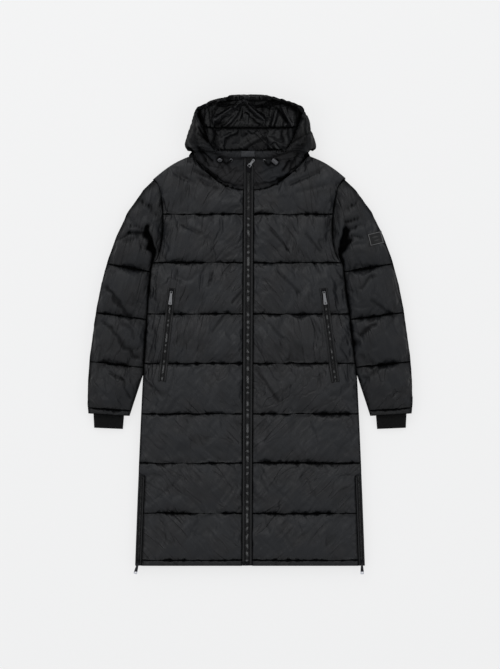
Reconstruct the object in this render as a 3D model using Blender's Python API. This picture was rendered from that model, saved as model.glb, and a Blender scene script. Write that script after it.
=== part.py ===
"""A long hooded puffer coat, zipped to the chin and laid flat on its back.

Metres. +X is towards the wearer's left, +Y towards the hood, +Z up from the surface that the coat
lies on. The origin is under the middle of the coat. "hand" is +1 on the wearer's left and -1 on
the right, and a distance d is always measured from the middle of the coat towards that hand.
"""

import math

import bmesh
import bpy
from mathutils import Matrix, Vector
from mathutils.bvhtree import BVHTree

for old in list(bpy.data.objects):
    bpy.data.objects.remove(old, do_unlink=True)

# The cut of the body, as it lies.
HEM_Y = -0.623
HEM_HALF = 0.3097
CHEST_HALF = 0.262
UNDERARM_Y = 0.196
SIDE_CURVE = 0.61  # how fast the side seam swings out below the underarm
SHOULDER_Y = 0.417  # the shoulder's end, at CHEST_HALF
SHOULDER_CROWN = 0.008
ARMHOLES = {  # distance from the middle at the shoulder and at the underarm, then the curve's depth
    1: (0.258, 0.248, 0.031),
    -1: (0.262, 0.262, 0.028),
}
ARMHOLE_CURVE = 0.5
SIDE_PULL_Y = (-0.11, 0.12)  # the side seam draws in to the underarm between these levels
NECK_X = 0.157  # where the shoulder meets the neck
NECK_Y = 0.4815
FRONT_NECK_Y = 0.388  # the neck seam beside the zip
NECK_CURVE = 1.95

# Stitched lines across the body, as heights above the hem: the hem's own line, then the quilting.
STITCH_HEIGHTS = (0.0, 0.0155, 0.141, 0.277, 0.409, 0.545, 0.678, 0.816, 0.947)
STITCH_LINES = [HEM_Y + height for height in STITCH_HEIGHTS]

# Padding.
BACK_TOP = 0.016  # the back panel's upper side
BACK_EDGE = 0.004  # its thickness at the seams
SEAM_GAP = 0.0004
FRONT_BASE = BACK_TOP + 0.0006
EDGE_THICK = 0.005
STITCH_THICK = 0.008
FRONT_LOFT = 0.018
HEM_LOFT = 0.004
SIDE_ROUND = 0.065
ARMHOLE_ROUND = 0.035
ZIP_ROUND = 0.028
ZIP_EDGE_LOFT = 0.15  # share of the loft that is left at the zip's edge
BACK_ROUND = 0.012

# The centre-front zip leans a little towards the wearer's right.
ZIP_TOP_Y = 0.476
ZIP_TOP_X = -0.0035
ZIP_HEM_X = -0.0081
ZIP_HALF = 0.016
ZIP_LEVEL = 0.0236
ZIP_TOP_LEVEL = 0.060
TAPE_THICK = 0.002
COIL_HALF = 0.0029
COIL_THICK = 0.0018
HINGE_Y = 0.4520  # the front slider's bridge

BOX_X = -0.0128
BOX_Y = (-0.6223, -0.6134)
BOX_HALF = 0.009

# Sliders and pulls.
SLIDER = (0.0045, 0.0055, 0.0055)  # half width, then length behind the bridge and ahead of it
FRONT_SLIDER = (0.0060, 0.0170, 0.0050)
SLIDER_REACH = 0.0069
SLIDER_THICK = 0.0034
FRONT_SLIDER_LIFT = 0.0014  # clears the zip where it curves up the collar
SLIDER_NOSE = 0.0012
BRIDGE_HALF = 0.0008
BRIDGE_INNER = 0.0023
BRIDGE_OUTER = 0.0034
BRIDGE_UNDER = 0.0026
BRIDGE_TOP = 0.0042
HINGE_RISE = 0.0014
HINGE_BAR = 0.0007
WINDOW_END = 0.0064
PULL_THICK = 0.0014
PULL_CLEAR = 0.0004
PULL_DROP = math.radians(5)
PULL_LENGTH = 0.036
SIDE_PULL_LENGTH = 0.0334
FRONT_PULL_LENGTH = 0.0240
FRONT_PULL_TAIL = (0.0026, 0.0033)
PULL_TAIL = (0.0030, 0.0049)
PULL_HOLE = 0.0017
PULL_WINDOW = 0.0019
FRONT_WINDOW = 0.0033
FRONT_PULL_TURN = 54
SIDE_PULL_SWING = {1: 0.0, -1: -12.0}

# Pockets: distance from the middle and level, at the top and the lower end of each zip.
POCKETS = {1: ((0.1972, 0.1245), (0.2302, -0.1283)), -1: ((0.2102, 0.1245), (0.2369, -0.1266))}
POCKET_STRIP = 0.0216
STRIP_CLEAR = 0.0014

# Side vents: the zip strip that shows along each side above the hem.
VENT_TOP_Y = -0.374
VENT_STRIP = 0.017
VENT_THICK = 0.005

# Sleeves: the level of each stitched line at the outer and at the inner edge.
SLEEVE_LINES = (  # outer y, inner y
    (0.417, 0.196),  # armhole
    (0.190, 0.168),
    (0.059, 0.040),
    (-0.073, -0.089),
    (-0.197, -0.205),  # the hem's line
    (-0.2125, -0.2192),  # the hem's edge
)
SLEEVE_OUTER = (  # y, outer edge x
    (0.417, 0.262),
    (0.390, 0.289),
    (0.331, 0.329),
    (0.266, 0.360),
    (0.201, 0.383),
    (0.136, 0.4007),
    (0.0716, 0.4136),
    (-0.058, 0.4317),
    (-0.123, 0.4369),
    (-0.188, 0.4379),
    (-0.220, 0.4350),
)
SLEEVE_HEM = 4  # the hem's channel
SLEEVE_FREE_Y = -0.105  # below this the sleeve leaves the body's side
SLEEVE_SPLAY = 0.327
SLEEVE_STITCH = 0.012
SLEEVE_LOFT = 0.020
SLEEVE_CHANNEL = 0.12  # a channel shorter than this has less loft
HEM_SHARE = 0.25  # the hem's share of the loft
ARMHOLE_RISE = 0.04
SLEEVE_ROUND = 0.016
SLEEVE_WALL = 0.011
SLEEVE_GAP = 0.0020
HEM_SLOT = (0.0042, 0.0205)  # lower and upper side of the opening that the cuff comes out of

# Sleeve folds: x, y of both ends, half width, depth.
SLEEVE_FOLDS = (
    (0.2747, 0.292, 0.2600, 0.200, 0.011, 0.022),  # under the arm
    (0.3060, 0.360, 0.2480, 0.314, 0.009, 0.009),  # quilting line that runs into the armhole
    (0.2747, 0.292, 0.3270, 0.262, 0.009, 0.008),
)

# Cuffs.
CUFF_TOP = ((0.4222, -0.206), (0.3385, -0.209))  # outer and inner corner, inside the sleeve
CUFF_END = ((0.4204, -0.2516), (0.3428, -0.2549))
CUFF_LEVELS = ((0.0056, 0.0190), (0.0, 0.0125))  # lower and upper side, in the sleeve and out of it
CUFF_EDGE = 0.0012  # half the thickness at the cuff's edges
CUFF_SLOT = 0.0005  # half the slot inside it
CUFF_RIBS = 19
RIB_HEIGHT = 0.0008

# Hood and collar, from the centre panel's seam round to the zip. Each row is one section of the
# shell: the rim, the widest point, the fold under it, and the neck seam. "front" is 0 where the
# section ends on the back neck and 1 where it ends on the front.
HOOD_SECTIONS = (
    # rim x, y, z, side x, y, z, under x, y, z, neck x, front
    (0.060, 0.6295, 0.078, 0.060, 0.6425, 0.044, 0.060, 0.622, 0.000, 0.060, 0.0),
    (0.105, 0.6165, 0.080, 0.113, 0.6290, 0.044, 0.098, 0.603, 0.000, 0.076, 0.0),
    (0.1405, 0.5990, 0.083, 0.1492, 0.5980, 0.045, 0.129, 0.575, 0.000, 0.096, 0.0),
    (0.1290, 0.5594, 0.086, 0.1645, 0.5540, 0.046, 0.143, 0.538, 0.000, 0.116, 0.0),
    (0.1127, 0.5190, 0.084, 0.1740, 0.5130, 0.046, 0.153, 0.507, 0.001, 0.138, 0.0),
    (0.0960, 0.4950, 0.079, 0.1660, 0.4900, 0.050, 0.159, 0.4865, 0.020, 0.1565, 0.5),
    (0.0800, 0.4928, 0.074, 0.1220, 0.4790, 0.062, 0.136, 0.4680, 0.042, 0.1370, 1.0),
    (0.0600, 0.4928, 0.069, 0.0900, 0.4600, 0.060, 0.104, 0.4390, 0.042, 0.1090, 1.0),
    (0.0380, 0.4928, 0.065, 0.0550, 0.4480, 0.056, 0.064, 0.4150, 0.042, 0.0670, 1.0),
    (0.0135, 0.4928, 0.061, 0.0135, 0.4480, 0.054, 0.0135, 0.4080, 0.038, 0.0135, 1.0),
)
HOOD_TOP_Y = 0.6455
HOOD_WALL = 0.008
RIM_CREST = 0.009
NECK_GAP = 0.0014

# Inside the hood.
LINING_THICK = 0.002
LINING_SEAM_Y = 0.5567
LINING_RIM = 0.071
LINING_FLOOR = 0.020
LINING_INSET = 0.0015
FACING_FLOOR = 0.0145
FACING_NECK = 0.0195
FACING_HALF = 0.083  # half the width under the collar
FACING_BEND = 0.478  # above this level the facing opens out to the hood's rim
RIM_FOOT_Y = 0.4955
FACING_FOOT = (0.452, 0.464, 0.474, 0.4815, 0.487, 0.4915)  # its rows, under the collar and above it
FACING_LEVELS = FACING_FOOT + (0.4955, 0.503, 0.513, 0.523, 0.534, 0.545, 0.5563)
LINING_FOLDS = (  # x, y of both ends, half width, height
    (-0.098, 0.578, -0.016, 0.622, 0.008, 0.013),
    (-0.016, 0.622, 0.039, 0.574, 0.008, 0.014),
    (0.085, 0.605, 0.118, 0.556, 0.008, 0.010),
    (-0.070, 0.560, -0.040, 0.590, 0.008, 0.006),
    (0.060, 0.562, 0.070, 0.600, 0.007, 0.007),
)
FACING_FOLDS = (
    (-0.085, 0.520, -0.040, 0.545, 0.010, 0.005),
    (-0.020, 0.505, 0.030, 0.535, 0.010, 0.006),
    (0.050, 0.530, 0.090, 0.510, 0.009, 0.005),
)
CHIN_GUARD_Y = (0.4752, 0.4925)
CHIN_GUARD_COLUMNS = (-0.0250, -0.0190, -0.0165, -0.0020, 0.0085, 0.0115, 0.0140)
CHIN_GUARD_TAPE = (-0.0170, 0.0090)  # it lies on the zip's tapes between these and on the collar beyond
CHIN_GUARD_LEVEL = 0.0670
CHIN_GUARD_THICK = 0.003
CHIN_GUARD_CROWN = 0.0012
RIM_TOP_Y = 0.632
RIM_CORNER = (0.1405, 0.5985)
RIM_ARC = 2.6

# The patch on the wearer's left sleeve.
PATCH_AT = (0.3382, 0.2579)
PATCH_SIZE = (0.040, 0.034)
PATCH_TURN = 14.2

# Drawcords: the eyelet, then the cord's route over the collar as x, y and height above it.
CORD_RADIUS = 0.0015
EYELET_RADIUS = 0.0045
EYELET_HOLE = 0.0021
EYELET_THICK = 0.0016
EYELET_SIDES = 16
CORD_ROUTES = {
    -1: (
        (-0.0506, 0.4674),
        (-0.0555, 0.4625, 0.0060),
        (-0.0614, 0.4577, 0.0021),
        (-0.0680, 0.4600, 0.0021),
        (-0.0750, 0.4681, 0.0046),
    ),
    1: (
        (0.0385, 0.4658),
        (0.0425, 0.4600, 0.0060),
        (0.0485, 0.4536, 0.0021),
        (0.0527, 0.4555, 0.0025),
        (0.0580, 0.4620, 0.0050),
    ),
}
CORD_STOPS = {-1: (-0.0803, 0.4739, 0.0072, None), 1: (0.0663, 0.4658, 0.0115, (1, -1, 0))}
STOP_LENGTH = 0.0185
STOP_WIDE = 0.0070
STOP_THIN = 0.0055
STOP_PROFILE = (  # share of the radius, share of the length
    (0.0, 0.0),
    (0.72, 0.0),
    (0.94, 0.08),
    (1.0, 0.24),
    (1.0, 0.76),
    (0.94, 0.92),
    (0.74, 1.0),
    (0.50, 1.0),
    (0.46, 0.86),
    (0.0, 0.86),
)

SHARP = math.radians(40)  # edges sharper than this stay sharp in shading

# Colours: red, green, blue, then roughness and metallic.
FINISHES = {
    "shell": (0.020, 0.021, 0.024, 0.45, 0.0),
    "lining": (0.012, 0.012, 0.014, 0.35, 0.0),
    "rib": (0.012, 0.012, 0.012, 0.90, 0.0),
    "tape": (0.014, 0.014, 0.015, 0.75, 0.0),
    "coil": (0.050, 0.050, 0.052, 0.40, 0.0),
    "metal": (0.480, 0.480, 0.490, 0.35, 1.0),
    "dark_metal": (0.060, 0.060, 0.065, 0.40, 1.0),
    "patch": (0.045, 0.045, 0.048, 0.70, 0.0),
    "cord": (0.014, 0.014, 0.015, 0.80, 0.0),
}


def mix(a, b, t):
    return a + (b - a) * t


def clamp(value, low=0.0, high=1.0):
    return max(low, min(high, value))


def ease(t):
    t = clamp(t)
    return t * t * (3 - 2 * t)


def puff(w):
    """The rise of a padded channel, from 0 at one stitched line, w = 0, to 0 at the next."""
    return max(0.0, 1 - abs(2 * w - 1) ** 2.4) ** 0.6


def bulge(t, power):
    """The rise across a tube that is pressed flat, from 0 at one edge, t = 0, to 0 at the other."""
    return max(0.0, 1 - abs(2 * t - 1) ** power) ** 0.5


def arc(x, y, radius, start, end, steps):
    """Points along an arc, with its angles in degrees."""
    turns = [math.radians(mix(start, end, k / steps)) for k in range(steps + 1)]
    return [(x + radius * math.cos(a), y + radius * math.sin(a)) for a in turns]


def round_edge(distance, radius):
    """0 at an edge and 1 from radius inwards, along a quarter circle."""
    return math.sqrt(1 - (1 - clamp(distance / radius)) ** 2)


def through(rows, at):
    """A smooth curve through rows of numbers, one row for each whole value of at."""
    last = len(rows) - 1
    k = min(int(at), last - 1)
    t = at - k
    before, a, b, after = (rows[clamp(n, 0, last)] for n in (k - 1, k, k + 1, k + 2))
    return [
        0.5 * (2 * q + (r - p) * t + (2 * p - 5 * q + 4 * r - s) * t**2 + (3 * q - p - 3 * r + s) * t**3)
        for p, q, r, s in zip(before, a, b, after)
    ]


def along_table(table, y):
    """The second column of a table at a value of its first, which falls from row to row."""
    for (y_a, x_a), (y_b, x_b) in zip(table, table[1:]):
        if y >= y_b:
            return mix(x_a, x_b, (y_a - y) / (y_a - y_b))
    return table[-1][1]


def add(name, finish, bm):
    """One sub-part from a bmesh, with a material of its own."""
    bmesh.ops.recalc_face_normals(bm, faces=bm.faces[:])
    mesh = bpy.data.meshes.new(name)
    bm.to_mesh(mesh)
    bm.free()
    mesh.shade_smooth()
    mesh.set_sharp_from_angle(angle=SHARP)
    piece = bpy.data.objects.new(name, mesh)
    bpy.context.collection.objects.link(piece)
    paint(piece, finish)
    return piece


def paint(piece, finish):
    red, green, blue, roughness, metallic = FINISHES[finish]
    material = bpy.data.materials.new(f"{piece.name}_{finish}")
    material.use_nodes = True
    shader = material.node_tree.nodes["Principled BSDF"]
    shader.inputs["Base Color"].default_value = (red, green, blue, 1)
    shader.inputs["Roughness"].default_value = roughness
    shader.inputs["Metallic"].default_value = metallic
    piece.data.materials.append(material)


def wall(name, finish, columns, rows, outer, inner, ring=False, plain=True):
    """A closed wall of cloth. outer(i, j) and inner(i, j) are its two sides at column i and row j.
    A ring's last column is sewn to its first, so it makes a tube that is open at both ends. Where
    the inner side is plain, its flat faces are joined."""
    bm = bmesh.new()
    bmesh.ops.create_grid(bm, x_segments=columns, y_segments=rows, size=0.5)
    column = bm.verts.layers.int.new("column")
    row = bm.verts.layers.int.new("row")
    for v in bm.verts:
        v[column] = round((v.co.x + 0.5) * columns)
        v[row] = round((v.co.y + 0.5) * rows)
    if ring:
        first = {v[row]: v for v in bm.verts if v[column] == 0}
        sewn = {v: first[v[row]] for v in bm.verts if v[column] == columns}
        bmesh.ops.weld_verts(bm, targetmap=sewn)
    made = bmesh.ops.extrude_face_region(bm, geom=bm.faces[:])
    inside = [g for g in made["geom"] if isinstance(g, bmesh.types.BMVert)]
    for v in bm.verts:
        v.co = outer(v[column], v[row])
    for v in inside:
        v.co = inner(v[column], v[row])
    if plain:
        # The plain side needs no more faces than its bends.
        edges = list(dict.fromkeys(e for v in inside for e in v.link_edges))
        bmesh.ops.dissolve_limit(bm, angle_limit=math.radians(0.2), verts=inside, edges=edges)
    bmesh.ops.triangulate(bm, faces=bm.faces[:])
    return add(name, finish, bm)


def top_of(piece):
    """A function that gives the highest point of a piece over x, y."""
    mesh = piece.data
    tree = BVHTree.FromPolygons([v.co for v in mesh.vertices], [p.vertices for p in mesh.polygons])

    def over(x, y):
        return tree.ray_cast(Vector((x, y, 1)), Vector((0, 0, -1)))[0]

    return over


def patch_on(name, finish, panel, columns, rows, plan, reach, clearance, thickness):
    """Cloth that lies on a panel: plan(i, j) gives x, y. Its height follows the highest of the
    panel's points within reach, so that it spans the panel's own facets."""
    over = top_of(panel)
    around = [(0, 0)] + [(reach * a, reach * b) for a, b in ((1, 0), (-1, 0), (0, 0.5), (0, -0.5))]

    def lifted(i, j, lift):
        x, y = plan(i, j)
        hits = [over(x + dx, y + dy) for dx, dy in around]
        return Vector((x, y, max(hit.z for hit in hits if hit) + lift))

    return wall(
        name,
        finish,
        columns,
        rows,
        lambda i, j: lifted(i, j, clearance + thickness),
        lambda i, j: lifted(i, j, clearance),
        plain=False,
    )


def stand(place, run, normal):
    """A frame at a place: Z is the normal, and Y is as near the run as that leaves."""
    y = (run - normal * run.dot(normal)).normalized()
    frame = Matrix((y.cross(normal), y, normal)).transposed().to_4x4()
    frame.translation = place
    return frame


def seat(over, x, y, run, radius, clearance):
    """A frame on the cloth at x, y, raised until nothing within the radius reaches it."""

    def around(share):
        spots = arc(x, y, radius * share, 0, 330, 11)
        return [place for place in (over(*spot) for spot in spots) if place]

    ring, place = around(1.0), over(x, y)
    normal = (ring[0] - ring[6]).cross(ring[3] - ring[9]).normalized()
    spread = ring + around(0.7) + around(0.35) + [place]
    rise = max((point - place).dot(normal) for point in spread) + clearance
    return stand(place + normal * rise, run, normal)


# ---- the body's outline


def armhole_x(y, hand):
    t = clamp((SHOULDER_Y - y) / (SHOULDER_Y - UNDERARM_Y))
    top, foot, depth = ARMHOLES[hand]
    return mix(top, foot, t) - depth * max(0.0, math.sin(math.pi * t)) ** ARMHOLE_CURVE


def side_x(y, hand):
    """The side of the body at level y: the side seam, then the armhole above the underarm."""
    if y >= UNDERARM_Y:
        return armhole_x(y, hand)
    up = (y - HEM_Y) / (UNDERARM_Y - HEM_Y)
    low, high = SIDE_PULL_Y
    pulled = (CHEST_HALF - ARMHOLES[hand][1]) * clamp((y - low) / (high - low))
    return CHEST_HALF + (HEM_HALF - CHEST_HALF) * (1 - up) ** SIDE_CURVE - pulled


def shoulder_y(d):
    t = clamp((d - NECK_X) / (CHEST_HALF - NECK_X))
    return mix(NECK_Y, SHOULDER_Y, t) + SHOULDER_CROWN * math.sin(math.pi * t)


def zip_x(y):
    return mix(ZIP_HEM_X, ZIP_TOP_X, clamp((y - HEM_Y) / (ZIP_TOP_Y - HEM_Y)))


def zip_edge(y, hand):
    """How far from the middle a front ends beside the zip."""
    return ZIP_HALF + hand * zip_x(y) + SEAM_GAP


def zip_level(y):
    """The height of the tapes' upper side: level down the body, rising up the collar."""
    up = clamp((y - FRONT_NECK_Y) / (ZIP_TOP_Y - FRONT_NECK_Y))
    return mix(ZIP_LEVEL, ZIP_TOP_LEVEL, math.sin(up * math.pi / 2))


def front_neck_y(d, hand):
    edge = zip_edge(FRONT_NECK_Y, hand)
    ratio = clamp((d - edge) / (NECK_X - edge))
    return mix(FRONT_NECK_Y, NECK_Y, ratio**NECK_CURVE)


# ---- the body


def channel_rows(lines, steps, first_steps):
    """(channel, share of the way up it) for each row of points, finest beside the stitching."""
    rows = [(0, w) for w in first_steps]
    rows += [(k, w) for k in range(1, lines - 1) for w in steps]
    return rows + [(lines - 2, 1.0)]


BODY_ROWS = channel_rows(len(STITCH_LINES) + 1, (0.0, 0.07, 0.22, 0.5, 0.78, 0.93), (0.0, 0.5))
FRONT_COLUMNS = (0.0, 0.03, 0.09, 0.22, 0.40, 0.579, 0.68, 0.77, 0.85, 0.93, 0.975, 1.0)
BACK_HALF_COLUMNS = (1.0, 0.985, 0.955, 0.85, 0.72, NECK_X / CHEST_HALF, 0.3)


def body_level(channel, w):
    upper = STITCH_LINES[channel + 1] if channel + 1 < len(STITCH_LINES) else SHOULDER_Y
    return mix(STITCH_LINES[channel], upper, w)


def front_panel(hand):
    """A padded front: quilted channels over a plain inside, thin at the stitching."""

    def place(i, j):
        channel, w = BODY_ROWS[j]
        level = body_level(channel, w)
        edge = zip_edge(level, hand)
        reach = side_x(level, hand) - (VENT_STRIP if level < VENT_TOP_Y else 0.0)
        d = mix(edge, reach, FRONT_COLUMNS[i])
        y = level
        if channel == len(STITCH_LINES) - 1:
            end = mix(edge, ARMHOLES[hand][0], FRONT_COLUMNS[i])
            top = front_neck_y(end, hand) if end < NECK_X else shoulder_y(end)
            y = mix(STITCH_LINES[channel], top, w)
        return d, y, edge, reach, channel, w

    def outer(i, j):
        d, y, edge, reach, channel, w = place(i, j)
        rise = round_edge(reach - d, SIDE_ROUND if y < UNDERARM_Y else ARMHOLE_ROUND)
        loft = (FRONT_LOFT if channel else HEM_LOFT) * puff(w) * rise
        loft *= mix(ZIP_EDGE_LOFT, 1.0, round_edge(d - edge, ZIP_ROUND))
        return Vector((hand * d, y, FRONT_BASE + mix(EDGE_THICK, STITCH_THICK, rise) + loft))

    def inner(i, j):
        d, y, *_ = place(i, j)
        return Vector((hand * d, y, FRONT_BASE))

    name = "front_left" if hand > 0 else "front_right"
    return wall(name, "shell", len(FRONT_COLUMNS) - 1, len(BODY_ROWS) - 1, outer, inner)


def back_panel():
    """The padded back. It rests on its flat underside, and its edges round up to the seams."""
    shares = [-s for s in BACK_HALF_COLUMNS] + [0.0] + list(BACK_HALF_COLUMNS[::-1])
    rows = [(0, 0.0), (0, 0.3), (0, 0.8)] + [(k, w) for k in range(1, 6) for w in (0.3, 0.8)]
    rows += [row for row in BODY_ROWS if row[0] >= 6 and row[1] < 0.9]
    rows += [(len(STITCH_LINES) - 1, w) for w in (0.93, 0.975, 1.0)]

    def place(i, j):
        channel, w = rows[j]
        level = body_level(channel, w)
        reach = side_x(level, 1 if shares[i] > 0 else -1)
        d = abs(shares[i]) * reach
        y, inside = level, min(reach - d, level - HEM_Y)
        if channel == len(STITCH_LINES) - 1:
            end = abs(shares[i]) * CHEST_HALF
            top = shoulder_y(end) if end > NECK_X else NECK_Y
            y = mix(STITCH_LINES[channel], top, w)
            inside = min(inside, top - y)
        return math.copysign(d, shares[i]), y, inside

    def under(i, j):
        x, y, inside = place(i, j)
        return Vector((x, y, (BACK_TOP - BACK_EDGE) * (1 - round_edge(inside, BACK_ROUND))))

    def over(i, j):
        x, y, _ = place(i, j)
        return Vector((x, y, BACK_TOP))

    return wall("back_panel", "shell", len(shares) - 1, len(rows) - 1, under, over)


def front_neck_edge(d, hand):
    """The neck seam's level between the columns of points that the front has there."""
    edge = zip_edge(FRONT_NECK_Y, hand)
    ends = [mix(edge, ARMHOLES[hand][0], share) for share in FRONT_COLUMNS]
    for a, b in zip(ends, ends[1:]):
        if d <= b:
            return mix(front_neck_y(a, hand), front_neck_y(b, hand), clamp((d - a) / (b - a)))
    return NECK_Y


# ---- sleeves and cuffs

SLEEVE_ROWS = (
    [(0, w) for w in (0.0, 0.035, 0.09, 0.17, 0.27, 0.38, 0.5, 0.63, 0.78, 0.93)]
    + [(k, w) for k in (1, 2, 3) for w in (0.0, 0.07, 0.22, 0.5, 0.78, 0.93)]
    + [(4, w) for w in (0.0, 0.5, 1.0)]
)
SLEEVE_TOP = (0.0, 0.03, 0.09, 0.18, 0.3, 0.42, 0.54, 0.66, 0.76, 0.85, 0.92, 0.97, 1.0)
SLEEVE_UNDER = (1.0, 0.965, 0.9, 0.5, 0.1, 0.035, 0.0)


def ridges(x, y, folds):
    """How far the folds stand up, or sink, at x, y."""
    total = 0.0
    for x_a, y_a, x_b, y_b, half_width, most in folds:
        run = Vector((x_b - x_a, y_b - y_a))
        t = clamp(Vector((x - x_a, y - y_a)).dot(run) / run.length_squared)
        off = (Vector((x, y)) - Vector((x_a, y_a)) - run * t).length
        total += most * math.exp(-((off / half_width) ** 2))
    return total


def sleeve_inner_x(y, hand):
    reach = side_x(clamp(y, SLEEVE_FREE_Y, UNDERARM_Y), hand) + SLEEVE_GAP
    return reach + SLEEVE_SPLAY * max(0.0, SLEEVE_FREE_Y - y)


def sleeve_plan(t, channel, w, hand):
    """x, y of the sleeve at t from its outer to its inner edge, and its width there."""
    outer_y, inner_y = (mix(a, b, w) for a, b in zip(SLEEVE_LINES[channel], SLEEVE_LINES[channel + 1]))
    outer = Vector((along_table(SLEEVE_OUTER, outer_y), outer_y))
    inner = Vector((sleeve_inner_x(inner_y, hand), inner_y))
    flat = outer.lerp(inner, t)
    if channel == 0:
        seam_y = mix(SHOULDER_Y, UNDERARM_Y, t)
        straight = mix(CHEST_HALF, ARMHOLES[hand][1], t) - SLEEVE_GAP * (1 - t)
        flat.x += (armhole_x(seam_y, hand) - straight) * (1 - w) ** 2
    return flat.x, flat.y, (outer - inner).length


def sleeve(hand):
    """A padded tube pressed flat. Its two layers meet in a thin slot, which widens at the hem."""
    top = len(SLEEVE_TOP)
    shares = SLEEVE_TOP + SLEEVE_UNDER

    def outer(i, j):
        channel, w = SLEEVE_ROWS[j]
        t = shares[i % len(shares)]
        x, y, width = sleeve_plan(t, channel, w, hand)
        if i % len(shares) >= top:
            z = FRONT_BASE * (1 - round_edge(min(t, 1 - t) * width, SLEEVE_ROUND))
            return Vector((hand * x, y, z))
        across = bulge(t, 2.5)
        start, end = SLEEVE_LINES[channel], SLEEVE_LINES[channel + 1]
        length = mix(start[0] - end[0], start[1] - end[1], t)
        share = HEM_SHARE if channel == SLEEVE_HEM else clamp(length / SLEEVE_CHANNEL, 0.3, 1.0)
        rise = round_edge(w * length, ARMHOLE_RISE) if channel == 0 else 1.0
        lifted = across * (SLEEVE_STITCH * rise + SLEEVE_LOFT * share * puff(w))
        lifted = max(lifted - ridges(x, y, SLEEVE_FOLDS) * rise, 0.0)
        return Vector((hand * x, y, FRONT_BASE + EDGE_THICK + lifted))

    def inner(i, j):
        channel, w = SLEEVE_ROWS[j]
        t = shares[i % len(shares)]
        _, _, width = sleeve_plan(t, channel, w, hand)
        inset = SLEEVE_WALL / width
        x, y, _ = sleeve_plan(mix(inset, 1 - inset, t), channel, w, hand)
        low, high = HEM_SLOT if channel == SLEEVE_HEM else (BACK_TOP, FRONT_BASE)
        return Vector((hand * x, y, low if i % len(shares) >= top else high))

    name = "sleeve_left" if hand > 0 else "sleeve_right"
    return wall(name, "shell", len(shares), len(SLEEVE_ROWS) - 1, outer, inner, ring=True)


def cuff(hand):
    """A knitted rib cuff, out of the sleeve's hem and down to the surface that it lies on."""
    top = [k / (2 * CUFF_RIBS) for k in range(2 * CUFF_RIBS + 1)]
    shares = top + [1.0, 0.93, 0.5, 0.07, 0.0]
    rows = 4

    def plan(t, v):
        a, b = (Vector(p).lerp(Vector(q), v) for p, q in zip(CUFF_TOP, CUFF_END))
        return a.lerp(b, t)

    def levels(v):
        out = ease((v - 0.35) / 0.5)
        return [mix(start, end, out) for start, end in zip(*CUFF_LEVELS)]

    def outer(i, j):
        k, v = i % len(shares), j / rows
        t = shares[k]
        low, high = levels(v)
        middle = mix(low, high, 0.5)
        across = bulge(t, 3.0)
        flat = plan(t, v)
        if k >= len(top):
            return Vector((hand * flat.x, flat.y, mix(middle - CUFF_EDGE, low, min(1.0, across * 1.5))))
        rib = RIB_HEIGHT * (k % 2) * across
        return Vector((hand * flat.x, flat.y, mix(middle + CUFF_EDGE, high - RIB_HEIGHT, across) + rib))

    def inner(i, j):
        k, v = i % len(shares), j / rows
        low, high = levels(v)
        flat = plan(mix(0.05, 0.95, shares[k]), v)
        side = -CUFF_SLOT if k >= len(top) else CUFF_SLOT
        return Vector((hand * flat.x, flat.y, mix(low, high, 0.5) + side))

    name = "cuff_left" if hand > 0 else "cuff_right"
    return wall(name, "rib", len(shares), rows, outer, inner, ring=True)


# ---- hood and collar

HOOD_SHARES = (0.0, 0.35, 0.8, 1.3, 1.7, 2.1, 2.55, 3.0, 3.5, 4.0, 4.5, 5.0)


def hood_turn(at):
    """0 where a section ends on the back neck and 1 where it ends on the front."""
    return ease((through(HOOD_SECTIONS, at)[-1] - 0.2) / 0.6)


def hood_section(at, hand):
    """One section of the shell, as points from the rim round to the neck seam."""
    rim_x, rim_y, rim_z, reach_x, side_y, side_z, under_x, under_y, under_z, neck_x, _ = through(
        HOOD_SECTIONS, at
    )
    turned = hood_turn(at)
    if at > 6:
        # The last sections close up to the zip's edge on this hand.
        shift = zip_edge(ZIP_TOP_Y, hand) - HOOD_SECTIONS[-1][0]
        share = clamp((at - 6) / 3)
        rim_x, reach_x, under_x, neck_x = (x + shift * share for x in (rim_x, reach_x, under_x, neck_x))
    # Round the shoulder the seam climbs over the back's edge before it comes down the front.
    neck_y = mix(NECK_Y, front_neck_edge(neck_x, hand), clamp(2 * turned - 1)) + NECK_GAP
    neck_z = mix(0.0, FRONT_BASE + STITCH_THICK, clamp(2 * turned))
    rim = (rim_x, rim_y, rim_z)
    crest = (mix(rim_x, reach_x, 0.3), mix(rim_y, side_y, 0.3), rim_z + RIM_CREST * mix(1, 0.4, turned))
    side = (reach_x, side_y, side_z)
    under = (under_x, max(under_y, neck_y + 0.004), max(under_z, 0.0))
    neck = (neck_x, neck_y, neck_z)
    middle = Vector(under).lerp(Vector(neck), 0.5)
    middle.z = mix(under[2], neck_z, 0.5 + 0.2 * turned)
    return [rim, crest, side, under, tuple(middle), neck]


def hood_point(share, at, hand):
    x, y, z = through(hood_section(at, hand), share)
    return Vector((hand * x, y, max(z, 0.0)))


def offset_inside(surface, columns, rows, thickness, flip):
    """The other side of a wall: each point moved in along the surface's normal."""

    def inner(i, j):
        along = surface(min(i + 1, columns), j) - surface(max(i - 1, 0), j)
        across = surface(i, min(j + 1, rows)) - surface(i, max(j - 1, 0))
        normal = along.cross(across).normalized() * flip
        return surface(i, j) - normal * thickness

    return inner


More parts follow.
